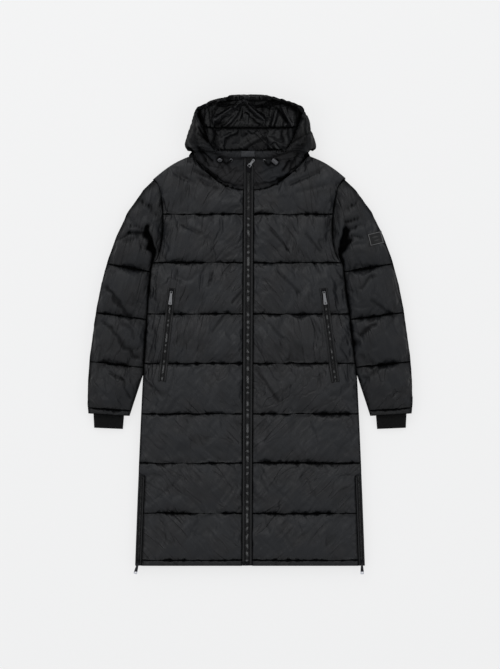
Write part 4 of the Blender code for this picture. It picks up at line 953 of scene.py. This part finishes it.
def blow_up(jobs):
    for piece, how in jobs:
        cloth_mod = piece.modifiers.new("padding", "CLOTH")
        made = cloth_mod.settings
        made.quality = 4
        made.mass = 0.15
        made.tension_stiffness = made.compression_stiffness = 12
        made.shear_stiffness = 4
        made.bending_stiffness = how["bend"]
        made.tension_damping = made.compression_damping = made.shear_damping = 4
        made.bending_damping = 0.3
        made.air_damping = 2
        made.vertex_group_mass = "held"
        made.shrink_min = -how["grow"]
        made.use_pressure = True
        made.uniform_pressure_force = how["press"]
        made.effector_weights.gravity = 0
        cloth_mod.collision_settings.use_self_collision = False
        cloth_mod.collision_settings.use_collision = False
        cloth_mod.point_cache.frame_end = FRAMES
    for frame in range(1, FRAMES + 1):
        bpy.context.scene.frame_set(frame)
    depsgraph = bpy.context.evaluated_depsgraph_get()
    for piece, how in jobs:
        blown = [v.co.copy() for v in piece.evaluated_get(depsgraph).data.vertices]
        piece.modifiers.clear()
        for v, to in zip(piece.data.vertices, blown):
            moved = to - v.co
            v.co += moved * min(1.0, how["cap"] / max(moved.length, 1e-9))
    bpy.context.scene.frame_set(1)


def keep_shape(piece):
    """Turns what the modifiers make into the piece's own mesh, and keeps it off the table."""
    depsgraph = bpy.context.evaluated_depsgraph_get()
    piece.data = bpy.data.meshes.new_from_object(piece.evaluated_get(depsgraph))
    piece.modifiers.clear()
    for v in piece.data.vertices:
        v.co.z = max(v.co.z, 0.0)


def smooth(piece):
    for face in piece.data.polygons:
        face.use_smooth = True


def thicken(piece, thickness):
    """Gives a cloth its thickness, on its inner side."""
    thick = piece.modifiers.new("cloth", "SOLIDIFY")
    thick.thickness = thickness
    thick.offset = -1
    smooth(piece)


def refine(piece):
    finer = piece.modifiers.new("finer", "SUBSURF")
    finer.levels = finer.render_levels = 1
    finer.boundary_smooth = "PRESERVE_CORNERS"
    keep_shape(piece)
    piece.vertex_groups.clear()


def open_end(bm, sign):
    return [e for e in bm.edges if e.is_boundary and e.verts[0].co.y * sign > 0]


def shut_sleeve(piece):
    """Turns each end of a sleeve in and shuts it: a short hem at the cuff, and the armhole's seam."""
    bm = bmesh.new()
    bm.from_mesh(piece.data)
    for turn, sign in ((0.008, -1), (0.002, 1)):
        turned = bmesh.ops.extrude_edge_only(bm, edges=open_end(bm, sign))["geom"]
        made = [g for g in turned if isinstance(g, bmesh.types.BMVert)]
        middle = sum((v.co for v in made), Vector()) / len(made)
        for v in made:
            v.co += Vector((0.04 * (middle.x - v.co.x), -sign * turn, 0.35 * (middle.z - v.co.z)))
        bmesh.ops.holes_fill(bm, edges=open_end(bm, sign), sides=0)
    bmesh.ops.recalc_face_normals(bm, faces=bm.faces[:])
    bm.to_mesh(piece.data)
    bm.free()


blow_up(sewn)
# Painted light and shade in copies of the cloth: the hood's is lighter on the collar and darker above
# it, and the sleeves' is darker than the body's.
hood_nylon = shell_nylon("hood_nylon", 1.68, 0.54, gloss=0.15, blue=0.7)
sleeve_nylon = shell_nylon("sleeve_nylon", 0.84, gloss=0.28)
for piece, _ in sewn:
    refine(piece)
    finish = hood_nylon if piece in hood else sleeve_nylon if piece in sleeves.values() else nylon
    piece.data.materials.append(finish)

for piece in fronts.values():
    close_flat(piece, FRONT_BASE)
close_flat(back, BACK_TOP)
for piece in sleeves.values():
    shut_sleeve(piece)
for piece in hood:
    thicken(piece, HOOD_CLOTH)
    keep_shape(piece)
for piece, _ in sewn:
    smooth(piece)

# ---- Lining
# Satin lines the hood down to a cross seam, and crumples where the hood is pressed flat. Below the
# seam a facing of shell cloth runs on round the inside of the neck.
LINING_GRID = (80, 34)
FACING_GRID = (70, 44)
LINING_SEAM_Y = 0.5567
LINING_RIM = 0.071
LINING_FLOOR = 0.020
FACING_NECK = 0.0195
FACING_FLOOR = 0.0145
FACING_LOW_Y = 0.452
RIM_CORNER = (0.1405, 0.5985)
RIM_MIDDLE_Y = 0.632
LINING_CLOTH = 0.0012
LINING_FOLDS = (  # x, y of both ends, half width, height
    (-0.098, 0.578, -0.016, 0.622, 0.008, 0.013),
    (-0.016, 0.622, 0.039, 0.574, 0.008, 0.014),
    (0.085, 0.605, 0.118, 0.556, 0.008, 0.010),
    (-0.070, 0.560, -0.040, 0.590, 0.008, 0.006),
    (0.060, 0.562, 0.070, 0.600, 0.007, 0.007),
)
# Painted shadows in the lining's creases, with no fold under them.
LINING_PAINTED_SHADOWS = (  # x, y of both ends, half width, how dark
    (-0.1341, 0.5936, -0.1228, 0.5510, 0.0060, 0.9),
    (-0.1039, 0.5985, -0.1026, 0.5736, 0.0035, 0.8),
    (-0.0938, 0.5590, -0.0698, 0.5735, 0.0050, 0.7),
    (0.0083, 0.5760, 0.0386, 0.5590, 0.0060, 0.7),
    (0.0688, 0.6036, 0.0966, 0.5710, 0.0045, 0.9),
    (0.1016, 0.6090, 0.1300, 0.5960, 0.0060, 0.8),
    (0.0310, 0.6186, 0.0335, 0.5986, 0.0035, 0.8),
    (-0.0750, 0.6060, -0.0500, 0.6150, 0.0050, 0.6),
)
# Painted shadows in the facing's creases, with no fold under them.
FACING_PAINTED_SHADOWS = (  # as the lining's
    (0.0386, 0.5480, 0.0411, 0.5160, 0.0035, 0.5),
    (0.0850, 0.5480, 0.0880, 0.5200, 0.0040, 0.6),
    (-0.0940, 0.5460, -0.0870, 0.5160, 0.0045, 0.6),
    (-0.0300, 0.5420, -0.0420, 0.5200, 0.0035, 0.4),
)
FACING_FOLDS = (  # as the lining's
    (-0.085, 0.520, -0.040, 0.545, 0.010, 0.005),
    (-0.020, 0.505, 0.030, 0.535, 0.010, 0.006),
    (0.050, 0.530, 0.090, 0.510, 0.009, 0.005),
)


def rim_half(y):
    return along_table([(row[1], row[0]) for row in HOOD_SECTIONS[2:6]], y)


def rim_top_y(x):
    return RIM_MIDDLE_Y - (RIM_MIDDLE_Y - RIM_CORNER[1]) * abs(x / RIM_CORNER[0]) ** 2.6


def lining_plan(i, j):
    columns, rows = LINING_GRID
    u, v = 2 * i / columns - 1, j / rows
    half = mix(rim_half(LINING_SEAM_Y) - 0.0015, RIM_CORNER[0] - 0.006, ease(v))
    x = u * half
    y = mix(LINING_SEAM_Y + 0.0004, rim_top_y(x) - 0.0015, v)
    free = (1 - abs(u) ** 5) * (1 - v**4)
    stands = ridges(x, y, LINING_FOLDS)
    # Painted shade under the rim, along the cross seam and at the sides.
    deep = min((1 - v) * 0.070, 0.0006 + v * 0.035, (1 - abs(u)) * 0.09)
    deep = min(deep, PAINTED_SHADE_REACH * (1 - ridges(x, y, LINING_PAINTED_SHADOWS)))
    place = Vector((x, y, mix(LINING_RIM, LINING_FLOOR, free) + stands * free))
    # The folds' height goes on in place of a stitched line, for the painted highlight on them.
    return place, stands, 1.0 if i in (0, columns) or j in (0, rows) else 0.0, deep


def facing_plan(i, j):
    columns, rows = FACING_GRID
    u, y = 2 * i / columns - 1, mix(FACING_LOW_Y, LINING_SEAM_Y - 0.0004, j / rows)
    inside = ease((y - 0.478) / 0.018)
    half = mix(0.083, rim_half(max(y, 0.4955)) - 0.0015, inside)
    floor_z = mix(FACING_NECK, FACING_FLOOR, ease((y - NECK_Y) / 0.02))
    rise = ridges(u * half, y, FACING_FOLDS) * (1 - abs(u) ** 5) * inside
    z = mix(floor_z, mix(FACING_NECK, LINING_RIM, inside), abs(u) ** 5) + rise
    # Painted shade along the cross seam, in the shadow under the collar's top edge, and at the sides.
    deep = min(0.0006 + abs(y - LINING_SEAM_Y) * 0.6, max(0.0, y - 0.4990), (1 - abs(u)) * 0.10)
    deep = min(deep, PAINTED_SHADE_REACH * (1 - ridges(u * half, y, FACING_PAINTED_SHADOWS)))
    hold = 1.0 if i in (0, columns) or j in (0, rows) else 0.0
    return Vector((u * half, y, z)), 0.03, hold, deep


lining = cloth("satin_lining", *LINING_GRID, lining_plan)
facing = cloth("nylon_facing", *FACING_GRID, facing_plan)


def satin():
    material, shader, place = fabric("lining_satin", 0.34, gloss=0.33)
    cloudy = place.clouds(30.0)
    stands = stitching(place)[2]
    # The folds' tops are painted lighter by their height, which the lining leaves in the cut: painted
    # highlight.
    feed(shader, "Base Color", (0.0009 + cloudy * 0.0034 + stands * 0.55).grey(1.1))
    emboss(shader, place.clouds(90.0, Detail=4.0, Distortion=1.2), 0.0030)
    feed(shader, "Roughness", 0.28 + cloudy * 0.14)
    # Painted black shade under the rim, at the seam, at the sides and in the creases.
    paint_black_shade(shader, painted_shade_distance(place).near(PAINTED_SHADE_REACH) * 0.96)
    return material


lining_satin = satin()
blow_up((
    (lining, {"grow": 0.16, "bend": 0.004, "press": 0.3, "cap": 0.010}),
    (facing, {"grow": 0.17, "bend": 0.004, "press": 0.2, "cap": 0.008}),
))
# The facing's copy of the cloth is painted darker: painted shade inside the hood.
facing_nylon = shell_nylon("facing_nylon", 0.42, gloss=0.30, mirrored=False)
for piece, node, words, finish in (
    (lining, "hood_lining", "lining_taffeta", lining_satin),
    (facing, "neck_facing", "shell_nylon", facing_nylon),
):
    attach(piece, "coat")
    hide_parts(node)
    refine(piece)
    piece.data.materials.append(finish)
    thicken(piece, LINING_CLOTH)

# ---- Zips
# Coil zips: a strip of shell cloth is folded back along each side of the woven tape and stitched
# twice, and the nylon coil runs down the middle.
BAND = (  # share of the half width, height above the folded strips
    (1.0, -0.0032), (0.985, -0.0010), (0.955, -0.0001), (0.90, 0.0002), (0.75, 0.0), (0.64, 0.0001),
    (0.565, 0.0003), (0.535, 0.0), (0.525, -0.0013), (0.40, -0.0015), (0.24, -0.0014), (0.02, -0.0014),
)
BAND_CLOTH = 0.0008
BAND_ROW = 0.0035
FRONT_BAND_HALF = 0.0134
POCKET_BAND_HALF = 0.0108
SIDE_BAND_HALF = 0.0083
FRONT_COIL = (0.0022, 0.0034, 0.0013)  # pitch, half width, thickness
SMALL_COIL = (0.0018, 0.0022, 0.0012)
COIL_BEVEL = 0.00028
ZIP_LEVEL = 0.0236
ZIP_TOP_LEVEL = 0.060
SLIDER_FOOT_Y = 0.4350


def zip_cloth():
    """Shell cloth folded back on the outside, woven tape inside it, and two rows of stitches."""
    material, shader, place = fabric("zip_cloth", 0.6, gloss=0.3)
    _, along, share = stitching(place)
    folded = share.rises(0.50, 0.54)
    diagonal = {"bands_direction": "DIAGONAL"}
    weave = place.node("TexWave", diagonal, {"Vector": place, "Scale": 260.0, "Distortion": 1.5})
    mottle = place.clouds(60.0, Detail=3.0)
    row = abs(share - 0.61).near(0.045) + abs(share - 0.91).near(0.03)
    stitch_line = row * (1 - abs(place.maths("SINE", along * 1050.0)).near(0.4))
    shade = 0.0045 + folded * (0.0005 + mottle * 0.0035) + stitch_line * 0.012
    feed(shader, "Base Color", shade.grey(1.06))
    emboss(shader, weave * (1 - folded) * 0.0003 + mottle * folded * 0.0012 + stitch_line * 0.0005)
    feed(shader, "Roughness", 0.85 - folded * 0.35)
    return material


zip_band_cloth = zip_cloth()


def zip_band(name, node, centre, half, level, length, hands=(1, -1)):
    """The folded strips and tapes along a zip: centre(s) is its middle line, x and y, and level gives
    the height there."""
    profile = [(-share, lift) for share, lift in BAND] if -1 in hands else []
    profile += BAND[::-1] if 1 in hands else []
    rows = max(8, round(length / BAND_ROW))

    def plan(i, j):
        s = j / rows
        run = (Vector(centre(min(s + 0.01, 1))) - Vector(centre(max(s - 0.01, 0)))).normalized()
        share, lift = profile[i]
        uneven = 1 + 0.02 * noise.noise(Vector((s * length * 30, 0, half * 99)))
        x, y = Vector(centre(s)) + Vector((run.y, -run.x)) * share * half * uneven
        end = -0.0012 if j in (0, rows) else 0.0
        return Vector((x, y, level(x, y) + lift + end)), abs(share), 0.0

    piece = cloth(name, len(profile) - 1, rows, plan)
    piece.data.materials.append(zip_band_cloth)
    thicken(piece, BAND_CLOTH)
    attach(piece, "coat")
    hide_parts(node)
    cut = [Vector((share * half, lift)) for share, lift in profile]


def coil_plastic(name, gleam):
    """Gleam is how bright the painted glints on the coil are, in beads below the collar: painted
    highlights.
    """
    material, shader, place = fabric(name, 0.3)
    along = place.axis(1)
    drift = place.clouds(26.0, Detail=1.5)
    beads = place.maths("SINE", along * 280.0 + drift * 17.0)
    glint = (beads + drift - 0.5).rises(0.1, 0.8) * along.rises(0.42, 0.30)
    feed(shader, "Base Color", (0.014 + glint * gleam).grey())
    feed(shader, "Roughness", 0.4 - glint * 0.15)
    return material


coil_bright = coil_plastic("coil_plastic", 0.15)
coil_plain = coil_plastic("coil_plastic_plain", 0.02)


def coil(name, node, centre, level, length, finish, sizes):
    """A closed coil: short nylon loops that lie across the zip in turn from either side."""
    pitch, half, tall = sizes
    bm = bmesh.new()
    for k in range(int(length / pitch * 2)):
        s = (k + 0.5) * pitch / 2 / length
        x, y = centre(s)
        ahead = Vector(centre(min(s + 0.02, 1))) - Vector(centre(max(s - 0.02, 0)))
        across = Vector((ahead.y, -ahead.x)).normalized()
        hand = 1 if k % 2 else -1
        middle = Vector((x, y)) + across * hand * half * 0.42
        rise = (level(x, y + 0.001) - level(x, y - 0.001)) / 0.002
        turn = Matrix.Rotation(math.atan2(across.y, across.x), 4, "Z")
        tilt = Matrix.Rotation(math.atan(rise), 4, "X")
        size = Matrix.Diagonal((half * 1.16, pitch * 0.42, tall, 1))
        there = Matrix.Translation((*middle, level(x, y))) @ (turn @ tilt) @ size
        bmesh.ops.create_cube(bm, size=1, matrix=there)
    bmesh.ops.bevel(
        bm, geom=bm.edges[:], offset=COIL_BEVEL, segments=1, profile=0.5, affect="EDGES", material=-1
    )
    mesh = bpy.data.meshes.new(name)
    bm.to_mesh(mesh)
    bm.free()
    mesh.materials.append(finish)
    piece = new_object(name, mesh)
    smooth(piece)
    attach(piece, "coat")
    if node:
        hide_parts(node)


def zip_level(x, y):
    up = clamp((y - FRONT_NECK_Y) / (ZIP_TOP_Y - FRONT_NECK_Y))
    return mix(ZIP_LEVEL, ZIP_TOP_LEVEL, math.sin(up * math.pi / 2))


def zip_line(low, high):
    def centre(s):
        y = mix(low, high, s)
        return mix(ZIP_HEM_X, ZIP_TOP_X, (y - HEM_Y) / (ZIP_TOP_Y - HEM_Y)), y

    return centre


def raised(level, by):
    """A level that stands this much above another."""

    def higher(x, y):
        return level(x, y) + by

    return higher


front_length = ZIP_TOP_Y - HEM_Y - 0.001
whole = zip_line(HEM_Y + 0.001, ZIP_TOP_Y)
for hand, side in SIDES.items():
    zip_band(
        f"front_band_{side}", f"zip_tape_{side}", whole, FRONT_BAND_HALF,
        zip_level, front_length, (hand,),
    )
low, high = HEM_Y + 0.012, SLIDER_FOOT_Y + 0.001
front_line, coil_level = zip_line(low, high), raised(zip_level, 0.0004)
coil("front_coil", "zip_coil", front_line, coil_level, high - low, coil_bright, FRONT_COIL)


def on_node(name):
    """The height of the top of a solid over x, y, from its nearest face that looks up."""
    node = bpy.data.objects[name]
    verts = [node.matrix_world @ v.co for v in node.data.vertices]
    tree = BVHTree.FromPolygons(verts, [p.vertices for p in node.data.polygons])
    top = max(v.z for v in verts)

    def level(x, y):
        hit = tree.ray_cast(Vector((x, y, 1)), Vector((0, 0, -1)))[0]
        if hit is None:
            near = tree.find_nearest(Vector((x, y, top)))[0]
            inside = Vector((near.x * 0.999 + x * 0.001, near.y, 1))
            hit = tree.ray_cast(inside, Vector((0, 0, -1)))[0] or near
        return hit.z

    return level


def eased(level, run):
    """A level averaged over 12 mm of a zip's run."""

    def average(x, y):
        near = [level(x + run.x * d, y + run.y * d) for d in (-0.006, -0.003, 0, 0.003, 0.006)]
        return sum(near) / len(near)

    return average


def straight_line(start, end, low=0.0, share=1.0):
    """The middle line of a straight zip, or of a share of it from low on."""

    def centre(s):
        return tuple(start.lerp(end, low + s * share))

    return centre


def vent_line(low, high, hand):
    inset = VENT_STRIP / 2 - 0.0002

    def centre(s):
        y = mix(low, high, s)
        return hand * (side_x(y, hand) - inset), y

    return centre


def vent_level(x, y):
    return FRONT_BASE + EDGE_THICK


COIL_SINK = -0.0008
POCKET_COIL_SHARE = 0.93
low, high = HEM_Y + 0.004, VENT_TOP_Y - 0.008
for hand, side in SIDES.items():
    (top_d, top_y), (end_d, end_y) = POCKETS[hand]
    start, end = Vector((hand * end_d, end_y)), Vector((hand * top_d, top_y))
    length = (end - start).length
    level = eased(on_node(f"pocket_zip_{side}"), (end - start).normalized())
    zip_band(
        f"pocket_band_{side}", f"pocket_zip_{side}", straight_line(start, end), POCKET_BAND_HALF,
        level, length,
    )
    coil(
        f"pocket_coil_{side}", None, straight_line(start, end, 0.01, POCKET_COIL_SHARE),
        raised(level, COIL_SINK), length * POCKET_COIL_SHARE, coil_bright, SMALL_COIL,
    )
    edge = vent_line(low, high, hand)
    zip_band(
        f"side_band_{side}", f"side_zip_{side}", edge, SIDE_BAND_HALF,
        vent_level, high - low,
    )
    coil(
        f"side_coil_{side}", None, edge,
        raised(vent_level, COIL_SINK), high - low, coil_plain, SMALL_COIL,
    )

# ---- Sliders, pulls, eyelets and stops
# Die-cast zinc. The sliders and the box at the front zip's foot are blacked, and so are the side
# pulls, but for their bare tips. The other pulls are brushed bright, and the eyelets and cord stops
# are lacquered in gunmetal.
SIDE_PULL_TIP_Y = -0.6385


def cast_metal(name, colour, roughness, scratch, tip=1.0):
    """Scratch is how deep its brushing is, and tip how many times lighter a side pull's tip is."""
    material, shader, place = fabric(name, roughness, metallic=1.0)
    stretch = {"Vector": place, "Scale": (0.4, 3.0, 1.0)}
    brushed = place.node("Mapping", {"vector_type": "TEXTURE"}, stretch).clouds(2600.0, Detail=2.0)
    shade = 0.82 + place.clouds(420.0, Detail=2.0) * 0.36
    if tip > 1:
        along = place.axis(1)
        shade = shade * along.rises(SIDE_PULL_TIP_Y + 0.001, SIDE_PULL_TIP_Y - 0.001, 1.0, tip)
    tint = [shade * level for level in colour]
    feed(shader, "Base Color", shade.node("CombineColor", (), enumerate(tint)))
    feed(shader, "Roughness", roughness - 0.06 + brushed * 0.12)
    emboss(shader, brushed, scratch)
    return material


bright = cast_metal("bright_zinc", (0.27, 0.27, 0.275), 0.30, 0.00004)
black = cast_metal("blacked_zinc", (0.012, 0.012, 0.013), 0.42, 0.00003)
black_tipped = cast_metal("side_pull_zinc", (0.030, 0.030, 0.032), 0.38, 0.00003, tip=24.0)
gunmetal = cast_metal("gunmetal_lacquer", (0.095, 0.095, 0.10), 0.28, 0.00002)
for finish, nodes in (
    (bright, ("zip_pull", "pocket_pull_left", "pocket_pull_right")),
    (black_tipped, ("side_pull_left", "side_pull_right")),
    (black, ("zip_slider", "pocket_slider_left", "pocket_slider_right")),
    (black, ("side_slider_left", "side_slider_right", "zip_box")),
    (gunmetal, ("cord_stop_left", "cord_stop_right", "eyelet_left", "eyelet_right")),
):
    for name in nodes:
        for slot in bpy.data.objects[name].material_slots:
            slot.material = finish

# ---- Chin guard
# A soft tab of doubled shell cloth, sewn to the right collar and folded over the top of the zip so
# that the slider doesn't rub the chin.
GUARD_GRID = (20, 10)
GUARD_X = (-0.0250, 0.0140)
GUARD_Y = (0.4752, 0.4925)
GUARD_LEVEL = 0.0682
GUARD_SWELL = 0.0026
GUARD_CLOTH = 0.0018


def guard_plan(i, j):
    columns, rows = GUARD_GRID
    u, v = 2 * i / columns - 1, 2 * j / rows - 1
    round_off = round_edge(1 - abs(u), 0.16) * round_edge(1 - abs(v), 0.45)
    x, y = mix(*GUARD_X, (u + 1) / 2), mix(*GUARD_Y, (v + 1) / 2)
    place = Vector((x, y, GUARD_LEVEL + GUARD_SWELL * round_off))
    place.z += 0.0005 * noise.noise(place * 140)
    return place, 0.02, 0.0


guard = cloth("chin_tab", *GUARD_GRID, guard_plan)
# Its copy of the cloth is painted lighter: painted light.
guard.data.materials.append(shell_nylon("guard_nylon", 1.62))
thicken(guard, GUARD_CLOTH)
soft = guard.modifiers.new("soft", "SUBSURF")
soft.levels = soft.render_levels = 1
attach(guard, "coat")
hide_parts("chin_guard")

# ---- Cuffs
# Ribbed knit in black wool-look acrylic. Each cuff is a doubled tube, sewn inside the sleeve's hem
# and lying flat on the table.
CUFF_TOP = ((0.4222, -0.206), (0.3385, -0.209))
CUFF_END = ((0.4204, -0.2516), (0.3428, -0.2549))
RIBS = 34
CUFF_ROWS = 16
CUFF_FACE = [k / (4 * RIBS) for k in range(4 * RIBS + 1)]
CUFF_SHARES = CUFF_FACE + [0.995, 0.97, 0.9, 0.7, 0.5, 0.3, 0.1, 0.03, 0.005]
CUFF_KNIT = 0.0012
CUFF_LOW = (0.0056, 0.0)  # the tube's underside, in the hem and at its end
CUFF_HIGH = (0.0190, 0.0125)
RIB_HEIGHT = 0.0011


def rib_knit():
    material, shader, place = fabric("rib_knit", 0.95, gloss=0.15)
    stitch = place.node("TexVoronoi", (), {"Vector": place, "Scale": 900.0})
    shade = 0.0032 + stitch * 0.005 + place.clouds(160.0, Detail=3.0) * 0.005
    feed(shader, "Base Color", shade.grey())
    emboss(shader, stitch, 0.0008)
    return material


def cuff(hand):
    def plan(i, j):
        k = i % len(CUFF_SHARES)
        v, t = j / CUFF_ROWS, CUFF_SHARES[k]
        a, b = (Vector(p).lerp(Vector(q), v) for p, q in zip(CUFF_TOP, CUFF_END))
        flat = a.lerp(b, t)
        out = ease((v - 0.35) / 0.5)
        low, high = mix(*CUFF_LOW, out), mix(*CUFF_HIGH, out)
        middle = mix(low, high, 0.5)
        across = max(0.0, 1 - abs(2 * t - 1) ** 3.0) ** 0.5
        if k >= len(CUFF_FACE):
            z = mix(middle - 0.0012, low, min(1.0, across * 1.5))
        else:
            rib = RIB_HEIGHT * abs(math.sin(math.pi * RIBS * t)) ** 0.7 * across
            end = 0.0008 * (1 - v) + (0.0 if j < CUFF_ROWS else -0.0008)
            z = mix(middle + 0.0012, high - RIB_HEIGHT, across) + rib + end
        return Vector((hand * flat.x, flat.y, z)), 0.02, 0.0

    return cloth(f"ribbed_cuff_{SIDES[hand]}", len(CUFF_SHARES), CUFF_ROWS, plan, ring=True)


knit = rib_knit()
for hand, side in SIDES.items():
    piece = cuff(hand)
    piece.data.materials.append(knit)
    thicken(piece, CUFF_KNIT)
    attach(piece, "coat")
    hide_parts(f"cuff_{side}")

# ---- Sleeve patch
# A small woven label, sewn flat on the wearer's left sleeve with its edges turned in. It is a dark
# twill in a pale woven border, with two plain bars across it.
PATCH_AT = (0.3382, 0.2579)
PATCH_SIZE = (0.040, 0.034)
PATCH_TURN = math.radians(14.2)
PATCH_GRID = (16, 14)
PATCH_CLOTH = 0.0012
PATCH_LIFT = 0.0016
PATCH_EDGE_LIFT = 0.0006


def patch_weave():
    material, shader, place = fabric("patch_weave", 0.7, gloss=0.25)
    cut = place.node("Attribute", {"attribute_name": "cut"}, out=1)
    u, v = cut.axis(0), cut.axis(1)
    edge = cut.maths("MAXIMUM", abs(u) / (PATCH_SIZE[0] / 2), abs(v) / (PATCH_SIZE[1] / 2))
    border = abs(edge - 0.87).near(0.075)
    bars = abs(v - 0.0045).near(0.0030) * abs(u).near(0.0125)
    bars = bars + abs(v + 0.0050).near(0.0022) * abs(u - 0.002).near(0.0105)
    twill = cut.node("TexWave", {"bands_direction": "DIAGONAL"}, {"Vector": cut, "Scale": 420.0})
    shade = 0.007 + twill * 0.004 + (border * 0.12 + bars * 0.035) * (0.8 + twill * 0.4)
    feed(shader, "Base Color", shade.grey())
    emboss(shader, border * 0.0004 + bars * 0.0003 + twill * 0.0001)
    return material


def on_cloth(piece):
    verts = [v.co for v in piece.data.vertices]
    tree = BVHTree.FromPolygons(verts, [p.vertices for p in piece.data.polygons])

    def level(x, y):
        hit = tree.ray_cast(Vector((x, y, 1)), Vector((0, 0, -1)))[0]
        return hit.z if hit else None

    return level


sleeve_top = on_cloth(sleeves[1])


def patch_plan(i, j):
    columns, rows = PATCH_GRID
    u, v = (i / columns - 0.5) * PATCH_SIZE[0], (j / rows - 0.5) * PATCH_SIZE[1]
    x = PATCH_AT[0] + u * math.cos(PATCH_TURN) - v * math.sin(PATCH_TURN)
    y = PATCH_AT[1] + u * math.sin(PATCH_TURN) + v * math.cos(PATCH_TURN)
    around = ((0, 0), (0.004, 0), (-0.004, 0), (0, 0.004), (0, -0.004))
    near = [sleeve_top(x + dx, y + dy) for dx, dy in around]
    near = [z for z in near if z is not None]
    lift = PATCH_EDGE_LIFT if i in (0, columns) or j in (0, rows) else PATCH_LIFT
    return Vector((x, y, sum(near) / len(near) + lift)), 0.0, 0.0


label = cloth("sleeve_label", *PATCH_GRID, patch_plan)
cuts = label.data.attributes["cut"].data
for v in label.data.vertices:
    dx, dy = v.co.x - PATCH_AT[0], v.co.y - PATCH_AT[1]
    u = dx * math.cos(PATCH_TURN) + dy * math.sin(PATCH_TURN)
    cuts[v.index].vector = (u, dy * math.cos(PATCH_TURN) - dx * math.sin(PATCH_TURN), 0)
label.data.materials.append(patch_weave())
thicken(label, PATCH_CLOTH)
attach(label, "coat")
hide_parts("sleeve_patch")
